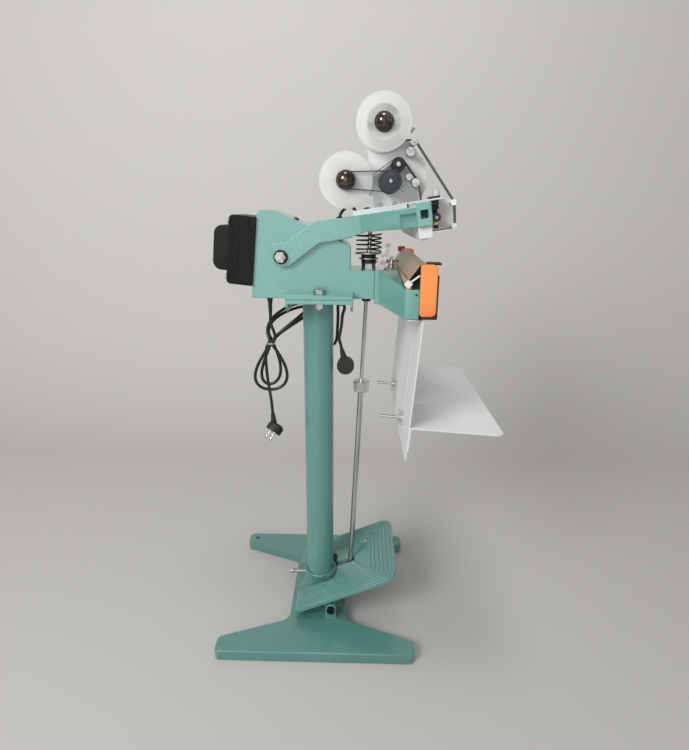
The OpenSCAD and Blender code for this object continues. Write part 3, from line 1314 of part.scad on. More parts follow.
base_casting();
column_tube();
column_head_plate();
column_set_screw();
flange_bolts();
body_casting();
transformer_core();
transformer_coil();
transformer_bolts();
arm_pivot_bolts();
arm_pivot_washers();
lower_jaw_casting();
seal_bar();
heating_element();
ptfe_cloth();
cloth_clamp_bar();
element_terminals();
feed_trip_link();
control_housing();
control_faceplate();
pilot_lamp();
print_anvil();
tray_hanger();
rod_guide_bush();
rubber_buffers();
buffer_washers();
return_spring();
pedal_pivot_bolts();
lead_glands();
mains_lead_run();
mains_lead_hank();
mains_lead_tail();
lead_tie();
mains_plug();
coder_lead();
coder_plug();
power_rocker();
heat_knob();
tray();
tray_wing_bolts();
pedal_plate();
rod_lower();
rod_upper();
rod_pin_and_nut();
rod_collar();
arm_casting();
press_bar();
press_pad();
coder_base_plate();
coder_side_plate();
coder_posts();
coder_front_bracket();
print_head();
head_knob();
ribbon();
takeup_belt();
supply_spool();
takeup_spool();
drive_wheel();
pinch_roller();
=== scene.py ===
"""Looks of a floor-standing pedal heat sealer with a ribbon date coder on its pressing arm."""

import json
import math

import bmesh
import bpy
from mathutils import Matrix, Vector
from mathutils.geometry import intersect_point_line


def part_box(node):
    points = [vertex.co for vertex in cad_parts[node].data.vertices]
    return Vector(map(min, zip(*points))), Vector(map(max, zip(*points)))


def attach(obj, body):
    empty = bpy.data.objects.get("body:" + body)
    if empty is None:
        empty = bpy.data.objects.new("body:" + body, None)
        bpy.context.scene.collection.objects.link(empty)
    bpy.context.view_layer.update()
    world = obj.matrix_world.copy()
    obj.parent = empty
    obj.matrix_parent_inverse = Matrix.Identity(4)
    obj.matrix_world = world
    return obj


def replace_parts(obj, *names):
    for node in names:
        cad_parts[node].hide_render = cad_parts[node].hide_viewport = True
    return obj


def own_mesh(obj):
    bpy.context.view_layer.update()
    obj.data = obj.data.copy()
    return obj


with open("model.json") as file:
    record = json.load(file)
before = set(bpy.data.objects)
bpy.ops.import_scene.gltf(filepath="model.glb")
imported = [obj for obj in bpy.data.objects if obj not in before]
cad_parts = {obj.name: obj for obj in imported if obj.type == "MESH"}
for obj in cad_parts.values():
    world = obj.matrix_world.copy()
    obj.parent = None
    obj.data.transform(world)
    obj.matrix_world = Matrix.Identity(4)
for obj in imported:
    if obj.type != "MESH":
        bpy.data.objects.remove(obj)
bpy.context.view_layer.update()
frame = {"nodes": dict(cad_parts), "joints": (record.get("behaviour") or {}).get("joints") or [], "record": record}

# Frame values: joints, axes and places that the looks are built on
MM = 0.001
RECORD = frame["record"]
JOINT = {joint["name"]: joint for joint in frame["joints"]}
BODY_OF = {node: body for body, nodes in RECORD["behaviour"]["bodies"].items() for node in nodes}
ARM_PIVOT = Vector(JOINT["arm_hinge"]["pos_m"])
ARM_OPEN = math.radians(JOINT["arm_hinge"]["range_deg"][1])
ARM = Matrix.Translation(ARM_PIVOT) @ Matrix.Rotation(-ARM_OPEN, 4, "Y")
STAND = Matrix.Identity(4)
ALONG_Y = Matrix.Rotation(math.radians(-90), 4, "X")


def joint_at(name):
    return Vector(JOINT[name]["pos_m"])


# Camera: fitted to the photograph, which a short lens took from near the machine
PHOTO_H = 750
FOCAL_PX = 520.3
SENSOR_MM = 36.0
CAMERA_AT = Vector((0.078, -1.061, 0.902))
CAMERA_YAW = math.radians(-1.24)
CAMERA_PITCH = math.radians(17.61)
CAMERA_ROLL = math.radians(0.40)


def make_camera():
    data = bpy.data.cameras.new("camera")
    data.sensor_width = SENSOR_MM
    data.lens = FOCAL_PX * SENSOR_MM / PHOTO_H
    data.clip_start = 0.01
    data.clip_end = 100
    look = Vector((math.sin(CAMERA_YAW) * math.cos(CAMERA_PITCH),
                   math.cos(CAMERA_YAW) * math.cos(CAMERA_PITCH),
                   -math.sin(CAMERA_PITCH)))
    level = Vector((math.cos(CAMERA_YAW), -math.sin(CAMERA_YAW), 0))
    upright = level.cross(look)
    right = math.cos(CAMERA_ROLL) * level + math.sin(CAMERA_ROLL) * upright
    up = -math.sin(CAMERA_ROLL) * level + math.cos(CAMERA_ROLL) * upright
    camera = bpy.data.objects.new("camera", data)
    camera.matrix_world = Matrix.Translation(CAMERA_AT) @ Matrix((right, up, -look)).transposed().to_4x4()
    bpy.context.scene.collection.objects.link(camera)
    bpy.context.scene.camera = camera


make_camera()

# Materials: procedural, in the object's own coordinates, one function for each family
MIX_A, MIX_B, MIX_RESULT = 6, 7, 2   # colour sockets of a Mix node, which share their names with others
NOISE_LOW, NOISE_HIGH = 0.3, 0.7     # values that a noise seldom leaves
SPECK_LOW, SPECK_HIGH = 0.52, 0.75   # values of a noise between which dust builds up
# Foot of the control housing, and the rise over which the painted shade at its foot fades out
HOUSING_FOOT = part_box("control_housing")[0][2]
HOUSING_SHADE_FADE = 0.025


def linear(r, g, b):
    """Colour given as sRGB 0 to 255, as the shader wants it."""
    def channel(c):
        c = c / 255
        return c / 12.92 if c <= 0.04045 else ((c + 0.055) / 1.055) ** 2.4
    return (channel(r), channel(g), channel(b), 1.0)


class Finish:
    """A Principled material that is built up by adding textures to it."""

    def __init__(self, name, colour, roughness, metallic=0.0, **sockets):
        self.material = bpy.data.materials.new(name)
        self.material.use_nodes = True
        self.tree = self.material.node_tree
        self.shader = self.tree.nodes["Principled BSDF"]
        self.shader.inputs["Base Color"].default_value = colour
        self.shader.inputs["Roughness"].default_value = roughness
        self.shader.inputs["Metallic"].default_value = metallic
        for socket, value in sockets.items():
            self.shader.inputs[socket.replace("_", " ")].default_value = value
        self.coordinates = self.tree.nodes.new("ShaderNodeTexCoord")
        self.bump = None

    def link(self, source, target):
        self.tree.links.new(source, target)

    def noise(self, scale, detail=3.0, stretch=(1, 1, 1), roughness=0.55):
        node = self.tree.nodes.new("ShaderNodeTexNoise")
        node.inputs["Scale"].default_value = scale
        node.inputs["Detail"].default_value = detail
        node.inputs["Roughness"].default_value = roughness
        mapping = self.tree.nodes.new("ShaderNodeMapping")
        mapping.inputs["Scale"].default_value = stretch
        self.link(self.coordinates.outputs["Object"], mapping.inputs["Vector"])
        self.link(mapping.outputs["Vector"], node.inputs["Vector"])
        return node.outputs["Fac"]

    def cells(self, scale):
        node = self.tree.nodes.new("ShaderNodeTexVoronoi")
        node.feature = "SMOOTH_F1"
        node.inputs["Scale"].default_value = scale
        node.inputs["Smoothness"].default_value = 0.6
        self.link(self.coordinates.outputs["Object"], node.inputs["Vector"])
        return node.outputs["Distance"]

    def waves(self, scale, axis, distortion=0.0, detail=0.0):
        node = self.tree.nodes.new("ShaderNodeTexWave")
        node.bands_direction = axis
        node.inputs["Scale"].default_value = scale
        node.inputs["Distortion"].default_value = distortion
        node.inputs["Detail"].default_value = detail
        self.link(self.coordinates.outputs["Object"], node.inputs["Vector"])
        return node.outputs["Fac"]

    def height(self):
        node = self.tree.nodes.new("ShaderNodeSeparateXYZ")
        self.link(self.coordinates.outputs["Object"], node.inputs["Vector"])
        return node.outputs["Z"]

    def ranged(self, source, low, high, out_low=0.0, out_high=1.0):
        node = self.tree.nodes.new("ShaderNodeMapRange")
        node.inputs["From Min"].default_value = low
        node.inputs["From Max"].default_value = high
        node.inputs["To Min"].default_value = out_low
        node.inputs["To Max"].default_value = out_high
        self.link(source, node.inputs["Value"])
        return node.outputs["Result"]

    def colour_between(self, factor, first, second):
        """Mixes two colours, or a colour over what is already on the base colour where first is None."""
        node = self.tree.nodes.new("ShaderNodeMix")
        node.data_type = "RGBA"
        self.link(factor, node.inputs["Factor"])
        base = self.shader.inputs["Base Color"]
        if first is not None:
            node.inputs[MIX_A].default_value = first
        else:
            self.link(base.links[0].from_socket, node.inputs[MIX_A])
        node.inputs[MIX_B].default_value = second
        self.link(node.outputs[MIX_RESULT], base)

    def mottled(self, first, second, scale, low=0.35, high=0.65, **noise):
        self.colour_between(self.ranged(self.noise(scale, **noise), low, high), first, second)

    def rough_between(self, source, low, high):
        self.link(self.ranged(source, NOISE_LOW, NOISE_HIGH, low, high), self.shader.inputs["Roughness"])

    def bumped(self, source, strength, depth):
        node = self.tree.nodes.new("ShaderNodeBump")
        node.inputs["Strength"].default_value = strength
        node.inputs["Distance"].default_value = depth
        self.link(source, node.inputs["Height"])
        if self.bump is not None:
            self.link(self.bump.outputs["Normal"], node.inputs["Normal"])
        self.link(node.outputs["Normal"], self.shader.inputs["Normal"])
        self.bump = node

    def rounded(self, radius):
        """Softens the edges' shading, so that they and the coat catch the light; comes before the bumps."""
        node = self.tree.nodes.new("ShaderNodeBevel")
        node.samples = 6
        node.inputs["Radius"].default_value = radius
        self.link(node.outputs["Normal"], self.shader.inputs["Coat Normal"])
        self.bump = node


def hammered_paint(name, base, light, dark, edge):
    """Gloss paint over a cast skin: small dimples, a broad faint tone and a fine light speckle that is a painted
    highlight, the glints of the hammered coat.
    """
    finish = Finish(name, base, roughness=0.34, Coat_Weight=0.9, Coat_Roughness=0.15)
    finish.mottled(dark, base, scale=8, detail=2)
    # Painted highlight: fine light speckle standing in for the coat's glints
    finish.mottled(None, light, scale=420, low=0.50, high=0.72, detail=2)
    finish.rough_between(finish.noise(scale=60), low=0.30, high=0.42)
    finish.rounded(radius=edge)
    finish.bumped(finish.cells(scale=260), strength=0.40, depth=0.0006)
    finish.bumped(finish.noise(scale=900, detail=2), strength=0.10, depth=0.0002)
    return finish.material


def smooth_paint(name, base, light, dark):
    finish = Finish(name, base, roughness=0.32, Coat_Weight=0.7, Coat_Roughness=0.12)
    finish.mottled(dark, base, scale=3, detail=2, stretch=(1, 1, 0.3))
    # Painted highlight: a fine light speckle standing in for glints of the gloss coat
    finish.mottled(None, light, scale=1500, low=0.50, high=0.95, detail=1)
    finish.rough_between(finish.noise(scale=40), low=0.29, high=0.38)
    finish.bumped(finish.noise(scale=230, detail=2), strength=0.14, depth=0.0003)
    return finish.material


def powder_coat(name, base, shade, roughness=0.42):
    finish = Finish(name, base, roughness)
    finish.mottled(shade, base, scale=4, detail=4)
    finish.rough_between(finish.noise(scale=30), low=roughness - 0.06, high=roughness + 0.08)
    finish.bumped(finish.noise(scale=1300, detail=2), strength=0.14, depth=0.00015)
    return finish.material


def plated_steel(name, base, dark, roughness=0.29, stretch=(1, 1, 1)):
    finish = Finish(name, base, roughness, metallic=1.0)
    finish.mottled(dark, base, scale=120, detail=6, stretch=stretch)
    finish.rough_between(finish.noise(scale=400, stretch=stretch), low=roughness, high=roughness + 0.10)
    finish.bumped(finish.noise(scale=1500, stretch=stretch), strength=0.05, depth=0.0001)
    return finish.material


def moulded_plastic(name, base, shade, roughness=0.5):
    finish = Finish(name, base, roughness)
    finish.mottled(shade, base, scale=24, detail=5)
    finish.rough_between(finish.noise(scale=90), low=roughness - 0.08, high=roughness + 0.1)
    finish.bumped(finish.noise(scale=1600, detail=2), strength=0.12, depth=0.0002)
    return finish.material


def rubber(name, base, shade, dust=0.12):
    finish = Finish(name, base, roughness=0.68)
    finish.mottled(shade, base, scale=45, detail=6)
    specks = finish.noise(scale=30, detail=8, roughness=0.7)
    finish.colour_between(finish.ranged(specks, SPECK_LOW, SPECK_HIGH, out_high=dust), None,
                          linear(120, 118, 112))
    finish.rough_between(finish.noise(scale=70), low=0.58, high=0.78)
    finish.bumped(finish.noise(scale=2200, detail=3), strength=0.22, depth=0.0002)
    return finish.material


def laminated_iron():
    """Edges of stacked sheets under black varnish, with lighter streaks along the sheets that are painted
    highlights.
    """
    finish = Finish("laminated_iron", linear(18, 18, 19), roughness=0.45, Specular_IOR_Level=0.3)
    # Lighter streaks along the sheets: painted highlights
    finish.mottled(linear(11, 11, 12), linear(38, 37, 37), scale=60, detail=6, stretch=(9, 1, 0.5))
    finish.bumped(finish.waves(scale=300, axis="X", distortion=0.3, detail=1), strength=0.8, depth=0.0005)
    finish.bumped(finish.noise(scale=260, stretch=(3, 1, 0.3)), strength=0.2, depth=0.0004)
    finish.rough_between(finish.noise(scale=80, stretch=(8, 1, 1)), low=0.28, high=0.6)
    return finish.material


def taped_coil():
    finish = Finish("taped_coil", linear(16, 16, 18), roughness=0.42, Specular_IOR_Level=0.25)
    finish.mottled(linear(11, 11, 13), linear(24, 24, 27), scale=30, detail=6)
    finish.rough_between(finish.noise(scale=40), low=0.34, high=0.52)
    finish.bumped(finish.waves(scale=26, axis="Y", distortion=1.2, detail=2), strength=0.3, depth=0.0006)
    finish.bumped(finish.noise(scale=180), strength=0.2, depth=0.0004)
    return finish.material


def coated_cloth():
    """Brown coated glass cloth: a fine weave, with a few darker streaks along the seal."""
    finish = Finish("coated_cloth", linear(178, 148, 120), roughness=0.36, Coat_Weight=0.2,
                    Coat_Roughness=0.25)
    finish.mottled(linear(164, 132, 104), linear(186, 158, 130), scale=12, detail=5, stretch=(1, 0.3, 1))
    finish.mottled(None, linear(128, 100, 76), scale=30, low=0.60, high=0.85, detail=7, stretch=(1, 0.2, 1))
    finish.rough_between(finish.noise(scale=30), low=0.28, high=0.46)
    for axis in ("Y", "X"):
        finish.bumped(finish.waves(scale=420, axis=axis), strength=0.2, depth=0.0002)
    return finish.material


def reflection_white_plastic():
    """Spool cheeks: see-through, tinted near-white all over as a painted reflection, with a faint haze."""
    finish = Finish("reflection_white_plastic", linear(238, 238, 236), roughness=0.20, Alpha=0.44)
    finish.mottled(linear(232, 232, 230), linear(243, 243, 241), scale=8, detail=3)
    finish.rough_between(finish.noise(scale=25), low=0.15, high=0.26)
    finish.bumped(finish.noise(scale=60, detail=2), strength=0.04, depth=0.0003)
    return finish.material


def clear_plastic():
    finish = Finish("clear_plastic", linear(240, 242, 243), roughness=0.08, Alpha=0.45)
    finish.rough_between(finish.noise(scale=40), low=0.05, high=0.14)
    finish.mottled(linear(232, 234, 236), linear(246, 247, 248), scale=25)
    return finish.material


def ribbon_film():
    finish = Finish("ribbon_film", linear(26, 25, 26), roughness=0.30)
    finish.mottled(linear(18, 17, 18), linear(40, 38, 38), scale=60, detail=5)
    finish.rough_between(finish.noise(scale=120), low=0.29, high=0.42)
    finish.bumped(finish.noise(scale=140), strength=0.08, depth=0.0004)
    return finish.material


def pale_film_painted_reflection():
    """Side of a tight roll of thin film: pale as a painted reflection of the cheek in front of it, with faint
    patches of wear.
    """
    finish = Finish("pale_film_painted_reflection", linear(222, 220, 217), roughness=0.40)
    finish.mottled(linear(210, 208, 205), linear(230, 228, 225), scale=70, detail=4)
    finish.rough_between(finish.noise(scale=90), low=0.32, high=0.48)
    finish.bumped(finish.noise(scale=500), strength=0.1, depth=0.0002)
    return finish.material


def lead_sheath():
    finish = Finish("lead_sheath", linear(22, 22, 24), roughness=0.34)
    finish.mottled(linear(16, 16, 18), linear(30, 30, 32), scale=40, detail=4)
    finish.rough_between(finish.noise(scale=120), low=0.28, high=0.46)
    finish.bumped(finish.noise(scale=700), strength=0.1, depth=0.0002)
    return finish.material


def lit_plastic(name, base, shade):
    finish = Finish(name, base, roughness=0.2, Transmission_Weight=0.15, Coat_Weight=0.3)
    finish.mottled(shade, base, scale=50)
    finish.rough_between(finish.noise(scale=80), low=0.14, high=0.26)
    finish.bumped(finish.noise(scale=900), strength=0.05, depth=0.0001)
    return finish.material


def orange_housing():
    """Orange sheet metal with painted shade: redder and darker towards the floor of the housing."""
    finish = Finish("orange_housing", linear(254, 160, 84), roughness=0.36)
    finish.mottled(linear(252, 150, 74), linear(255, 166, 92), scale=9, detail=3)
    # Painted shade: the lowest 25 mm of the housing turn a darker red
    foot_shade = finish.ranged(finish.height(), HOUSING_FOOT, HOUSING_FOOT + HOUSING_SHADE_FADE,
                            out_low=0.7, out_high=0.0)
    finish.colour_between(foot_shade, None, linear(247, 116, 70))
    finish.rough_between(finish.noise(scale=50), low=0.30, high=0.44)
    finish.rounded(radius=2.2 * MM)
    finish.bumped(finish.noise(scale=900), strength=0.08, depth=0.0002)
    return finish.material


# One paint in four greens: the base, pedal and column greens and their partners are darker copies of the casting
# green, painted shade for how those parts sit in the light
GREEN = linear(113, 169, 159)
SHADED_BASE_GREEN = linear(82, 135, 127)
SHADED_PEDAL_GREEN = linear(92, 146, 138)
SHADED_COLUMN_GREEN = linear(88, 142, 133)
MAT = {
    "casting": hammered_paint("casting_paint", GREEN, linear(127, 180, 171), linear(106, 163, 153),
                              edge=2.6 * MM),
    "base": hammered_paint("base_paint_shaded", SHADED_BASE_GREEN, linear(94, 147, 138), linear(76, 128, 121),
                           edge=3.4 * MM),
    "pedal": hammered_paint("pedal_paint_shaded", SHADED_PEDAL_GREEN, linear(104, 158, 150), linear(86, 139, 132),
                            edge=0.9 * MM),
    "column": smooth_paint("column_paint_shaded", SHADED_COLUMN_GREEN, linear(150, 200, 191), linear(82, 136, 127)),
    "white": powder_coat("white_coat", linear(228, 230, 232), linear(220, 222, 224)),
    "plate": powder_coat("silver_coat", linear(248, 249, 250), linear(238, 239, 240), roughness=0.34),
    "steel": plated_steel("plated_steel", linear(205, 204, 202), linear(150, 148, 146)),
    "chrome": plated_steel("bright_chrome", linear(234, 234, 236), linear(204, 204, 206), roughness=0.12),
    "bright": plated_steel("bright_bar", linear(206, 205, 206), linear(168, 166, 167), roughness=0.15,
                           stretch=(1, 1, 0.05)),
    "dark_steel": plated_steel("black_oxide", linear(66, 65, 66), linear(38, 38, 39), roughness=0.34),
    "hub": plated_steel("dark_chrome", linear(118, 108, 100), linear(62, 54, 50), roughness=0.10),
    "aluminium": plated_steel("brushed_aluminium", linear(220, 220, 220), linear(188, 188, 189),
                              roughness=0.30, stretch=(1, 1, 8)),
    "brass": plated_steel("brass", linear(204, 164, 92), linear(158, 122, 64)),
    "black": moulded_plastic("black_plastic", linear(34, 34, 36), linear(25, 25, 27)),
    "grey_black": moulded_plastic("grey_black_plastic", linear(70, 71, 75), linear(60, 61, 65),
                                  roughness=0.55),
    "rubber": rubber("black_rubber", linear(34, 33, 34), linear(25, 25, 26)),
    "wheel": rubber("wheel_rubber", linear(62, 64, 70), linear(52, 54, 59), dust=0.2),
    "pad": rubber("white_silicone", linear(226, 224, 218), linear(212, 209, 202), dust=0.05),
    "tan": powder_coat("tan_bar", linear(192, 166, 132), linear(168, 142, 110)),
    "cream": moulded_plastic("cream_block", linear(236, 235, 230), linear(222, 219, 212)),
    "laminations": laminated_iron(),
    "coil": taped_coil(),
    "cloth": coated_cloth(),
    "reflection_white": reflection_white_plastic(),
    "clear": clear_plastic(),
    "ribbon": ribbon_film(),
    "roll": pale_film_painted_reflection(),
    "lead": lead_sheath(),
    "orange": orange_housing(),
    "red": lit_plastic("red_lens", linear(196, 30, 22), linear(160, 20, 16)),
    "dark_red": lit_plastic("dark_red_rocker", linear(92, 16, 14), linear(70, 12, 11)),
}

# Shapes: each makes one object in metres, in the part's frame
SHARP_DEG = 35
SOFT_DEG = 60


def add(name, data, material):
    piece = bpy.data.objects.new(name, data)
    bpy.context.scene.collection.objects.link(piece)
    data.materials.clear()
    data.materials.append(material)
    return piece


def from_bmesh(name, shape, material, smooth_angle=SHARP_DEG):
    mesh = bpy.data.meshes.new(name)
    bmesh.ops.recalc_face_normals(shape, faces=shape.faces)
    shape.to_mesh(mesh)
    shape.free()
    mesh.shade_smooth()
    mesh.set_sharp_from_angle(angle=math.radians(smooth_angle))
    return add(name, mesh, material)


def joined(piece, body):
    """The piece moves with a body."""
    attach(piece, body)
    return piece


# Rounding of edges: each takes as much of its width as the faces beside it leave room for
SHARP = math.radians(SHARP_DEG)
ROUND_SEGMENTS = 3
OPPOSED = -0.3               # below this cosine between their inward directions, two edges face each other
ASLANT = 0.25                # an edge beside another limits it from this steepness on
ROOM_SHARE = 0.42            # share of the room that one rounding may take
TURN_SHARE = 0.9             # share of the width at which an edge would shrink to nothing
LARGEST_TURN = 3             # in radians, so that the tangent of its half stays finite
INSIDE_SHARE = 0.3           # share of the width for an edge that ends at one inner edge
PROBES = (0.05, 0.5, 0.95)   # places along an edge where its distance to the others is measured


def bevelled(piece, width, weighed=False):
    """Rounds the sharp edges, each by the whole width or by its own weight's share of it."""
    rounding = piece.modifiers.new("rounding", "BEVEL")
    rounding.width = width
    rounding.segments = ROUND_SEGMENTS
    rounding.limit_method = "WEIGHT" if weighed else "ANGLE"
    rounding.angle_limit = SHARP
    rounding.use_clamp_overlap = not weighed
    rounding.loop_slide = not weighed
    rounding.harden_normals = True


def direction(loop):
    return (loop.link_loop_next.vert.co - loop.vert.co).normalized()


def turn_room(loop, sharp):
    """Width at which an edge between two corners of its face has nearly shrunk to nothing."""
    normal = loop.face.normal
    turns = 0
    for before, after in ((loop.link_loop_prev, loop), (loop, loop.link_loop_next)):
        if before.edge in sharp and after.edge in sharp:
            first, second = direction(before), direction(after)
            turn = math.atan2(first.cross(second).dot(normal), first.dot(second))
            turns += max(math.tan(min(turn, LARGEST_TURN) / 2), 0)
    return TURN_SHARE * loop.edge.calc_length() / turns if turns > 0 else math.inf


def face_room(loop, sharp):
    """Width that an edge can take from one face: short edges beside it and sharp edges opposite limit it."""
    along = direction(loop)
    inward = loop.face.normal.cross(along)
    room = turn_room(loop, sharp)
    for beside in (loop.link_loop_prev, loop.link_loop_next):
        slant = abs(direction(beside).dot(inward))
        if beside.edge not in sharp and slant > ASLANT:
            room = min(room, ROOM_SHARE * beside.edge.calc_length() * slant)
    start, end = loop.vert.co, loop.link_loop_next.vert.co
    for other in loop.face.loops:
        if other.edge in sharp and loop.face.normal.cross(direction(other)).dot(inward) < OPPOSED:
            far_start, far_end = other.vert.co, other.link_loop_next.vert.co
            for probe in PROBES:
                at = start.lerp(end, probe)
                place = intersect_point_line(at, far_start, far_end)[1]
                nearest = far_start.lerp(far_end, min(max(place, 0), 1))
                if (nearest - at).dot(inward) > 0:
                    room = min(room, ROOM_SHARE * (nearest - at).length)
    return room


def weigh_edges(shape, width):
    """Gives each sharp edge the share of a rounding that the faces beside it leave room for."""
    weight = shape.edges.layers.float.new("bevel_weight_edge")
    shape.normal_update()
    corners = [edge for edge in shape.edges if len(edge.link_faces) == 2 and edge.calc_face_angle() > SHARP]
    sharp = {edge for edge in corners if edge.is_convex}
    inner = set(corners) - sharp
    for edge in sharp:
        touching = max(sum(beside in inner for beside in vertex.link_edges) for vertex in edge.verts)
        share = (1, INSIDE_SHARE, 0)[min(touching, 2)]
        edge[weight] = min(share, min(face_room(loop, sharp) for loop in edge.link_loops) / width)


# Copies of CAD nodes: those with many small faces are rounded within Blender's own clamp
CROWDED = {"rod_collar", "rod_lower", "rod_upper", "heat_knob", "element_terminals", "tray_wing_bolts",
           "mains_plug"}
WELD = 2e-6
FLAT = math.radians(0.6)


def dress(node, material, rounding):
    """A copy of a CAD node with its seams dissolved and its edges rounded, shown in its place."""
    shape = bmesh.new()
    shape.from_mesh(frame["nodes"][node].data)
    bmesh.ops.remove_doubles(shape, verts=shape.verts, dist=WELD)
    bmesh.ops.dissolve_limit(shape, angle_limit=FLAT, verts=shape.verts, edges=shape.edges)
    bmesh.ops.recalc_face_normals(shape, faces=shape.faces)
    weighed = node not in CROWDED
    if weighed and rounding > 0:
        weigh_edges(shape, rounding * MM)
    piece = from_bmesh("look_" + node, shape, MAT[material])
    if rounding > 0:
        bevelled(piece, rounding * MM, weighed)
    joined(piece, BODY_OF[node])
    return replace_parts(piece, node)


def lathe(name, profile, place, material, body, segments=64):
    """Turned piece: profile is (radius, height) in millimetres along the local Z of place."""
    shape = bmesh.new()
    turns = [2 * math.pi * i / segments for i in range(segments)]
    rings = []
    for radius, height in profile:
        if radius <= 0:
            rings.append([shape.verts.new((0, 0, height * MM))])
        else:
            rings.append([shape.verts.new(Vector((radius * math.cos(t), radius * math.sin(t), height)) * MM)
                          for t in turns])
    for low, high in zip(rings, rings[1:]):
        for i in range(segments):
            j = (i + 1) % segments
            corners = [low[i % len(low)], low[j % len(low)], high[j % len(high)], high[i % len(high)]]
            unique = list(dict.fromkeys(corners))
            if len(unique) > 2:
                shape.faces.new(unique)
    piece = from_bmesh(name, shape, MAT[material])
    piece.data.transform(place)
    return joined(piece, body)


def block(name, low, high, place, material, body, rounding):
    """Box between two corners in millimetres, in the frame of place."""
    shape = bmesh.new()
    bmesh.ops.create_cube(shape, size=1)
    low, high = Vector(low) * MM, Vector(high) * MM
    for vertex in shape.verts:
        vertex.co = [low[i] + (vertex.co[i] + 0.5) * (high[i] - low[i]) for i in range(3)]
    piece = from_bmesh(name, shape, MAT[material])
    piece.data.transform(place)
    if rounding > 0:
        bevelled(piece, rounding * MM)
    return joined(piece, body)


def smooth_route(route, steps):
    """Points of a smooth curve through a route, steps from each point to the next."""
    route = [Vector(point) for point in route]
    last = len(route) - 1
    line = []
    for i in range(last):
        a, b, c, d = route[max(i - 1, 0)], route[i], route[i + 1], route[min(i + 2, last)]
        for j in range(steps):
            t = j / steps
            line.append(0.5 * (2 * b + (c - a) * t + (2 * a - 5 * b + 4 * c - d) * t ** 2
                               + (3 * b - a - 3 * c + d) * t ** 3))
    return line + [route[last]]


def tube(name, line, diameter, material, body):
    """Round tube along a line of points, as one open curve."""
    curve = bpy.data.curves.new(name, "CURVE")
    curve.dimensions = "3D"
    curve.bevel_depth = diameter / 2
    curve.bevel_resolution = 5
    curve.use_fill_caps = True
    spline = curve.splines.new("POLY")
    spline.points.add(len(line) - 1)
    for point, place in zip(spline.points, line):
        point.co = (*place, 1)
    spline.use_smooth = True
    return joined(add(name, curve, MAT[material]), body)


# Pieces that keep the CAD's shape: the edges' rounding in millimetres for each
DRESSED = {
    "casting": {"body_casting": 1.3, "lower_jaw_casting": 1.6, "arm_casting": 1.6, "column_head_plate": 1.6},
    "base": {"base_casting": 2.2},
    "pedal": {"pedal_plate": 0.9},
    "column": {"column_tube": 0.5},
    "white": {"tray_hanger": 0.4, "tray": 0.4, "press_bar": 0.8, "coder_base_plate": 0.6},
    "plate": {"coder_side_plate": 0.5, "coder_front_bracket": 0.5},
    "steel": {"column_set_screw": 0.8, "flange_bolts": 0.9, "transformer_bolts": 0.6, "arm_pivot_bolts": 0.9,
              "buffer_washers": 0.4, "rod_pin_and_nut": 0.6, "lead_tie": 0.3, "coder_posts": 0.6,
              "feed_trip_link": 0.4},
    "chrome": {"element_terminals": 0.5, "tray_wing_bolts": 0.6},
    "bright": {"rod_lower": 0.5, "rod_upper": 0.5},
    "dark_steel": {"arm_pivot_washers": 0.7, "pedal_pivot_bolts": 0.8},
    "aluminium": {"seal_bar": 0.5, "rod_collar": 0.4, "heating_element": 0.0},
    "black": {"control_faceplate": 0.4, "print_anvil": 0.4, "rod_guide_bush": 0.5, "lead_glands": 0.5,
              "print_head": 0.6, "takeup_belt": 0.2, "mains_plug": 0.9, "coder_plug": 1.2},
    "grey_black": {"heat_knob": 0.5, "head_knob": 0.4},
    "rubber": {"rubber_buffers": 1.2},
    "pad": {"press_pad": 0.6},
    "tan": {"cloth_clamp_bar": 0.6},
    "laminations": {"transformer_core": 1.2},
    "coil": {"transformer_coil": 2.5},
    "ribbon": {"ribbon": 0.0},
    "orange": {"control_housing": 1.4},
    "red": {"pilot_lamp": 0.5},
    "dark_red": {"power_rocker": 0.5},
}
LOOK = {node: dress(node, family, rounding)
        for family, nodes in DRESSED.items() for node, rounding in nodes.items()}

# Date coder: spools and wheels turned on their joints' axes, in millimetres, heights along Y from mid-ribbon
HALF_RIBBON = 15
CHEEK_R = (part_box("supply_spool")[1][0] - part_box("supply_spool")[0][0]) / 2 / MM
CHEEK_STEPS = ((0.40, 0.25), (0.42, 0.0), (0.93, 0.0), (0.95, 0.25))
CHEEK_RIM = ((-0.4, 0.1), (0, 0.5))
CHEEK_SEGMENTS = 96
DISC_FRONT = -HALF_RIBBON - 3
DISC_BACK = HALF_RIBBON + 1.2
DISC_T = 1.2
SPINDLE_R = 4
SPINDLE_END = 29
SPINDLE_SOFT = 0.6
SUPPLY_ROLL_R = 30
TAKEUP_ROLL_R = 19
ROLL_SIDE = 0.4
ROLL_SOFT = 0.1
NUT_R = 15
NUT_RISE = 12
NUT_SEAT = 0.5
NUT_RING_R = 17
NUT_RING_T = 4
PULLEY_R = 13
PULLEY_FRONT = -HALF_RIBBON - 14
DRIVE_PROFILE = [(0, -36.4), (5, -36.4), (5, -37), (14, -37), (15, -36), (17, -36), (18, -37), (19.4, -37),
                 (20, -36.4), (20, -29.2), (19.4, -28.5), (17, -28.5), (17, -15), (20, -15), (20.5, -14.4),
                 (20.5, 14.4), (20, 15), (SPINDLE_R, 15), (SPINDLE_R, SPINDLE_END), (0, SPINDLE_END)]
DRIVE_SEGMENTS = 80
DRIVE_SCREW = [(0, -38.4), (2.6, -38.4), (3.6, -37.6), (3.8, -36.2)]
PINCH_PROFILE = [(0, -15), (11.4, -15), (12, -14.4), (12, 14.4), (11.4, 15), (SPINDLE_R, 15),
                 (SPINDLE_R, 26), (0, 26)]
PINCH_SCREW = [(0, -18), (3.4, -18), (4.4, -17.2), (4.6, -14.8)]
SCREW_SEGMENTS = 24
SMALL_SEGMENTS = 32


def on_axis(joint):
    return Matrix.Translation(joint_at(joint)) @ ALONG_Y


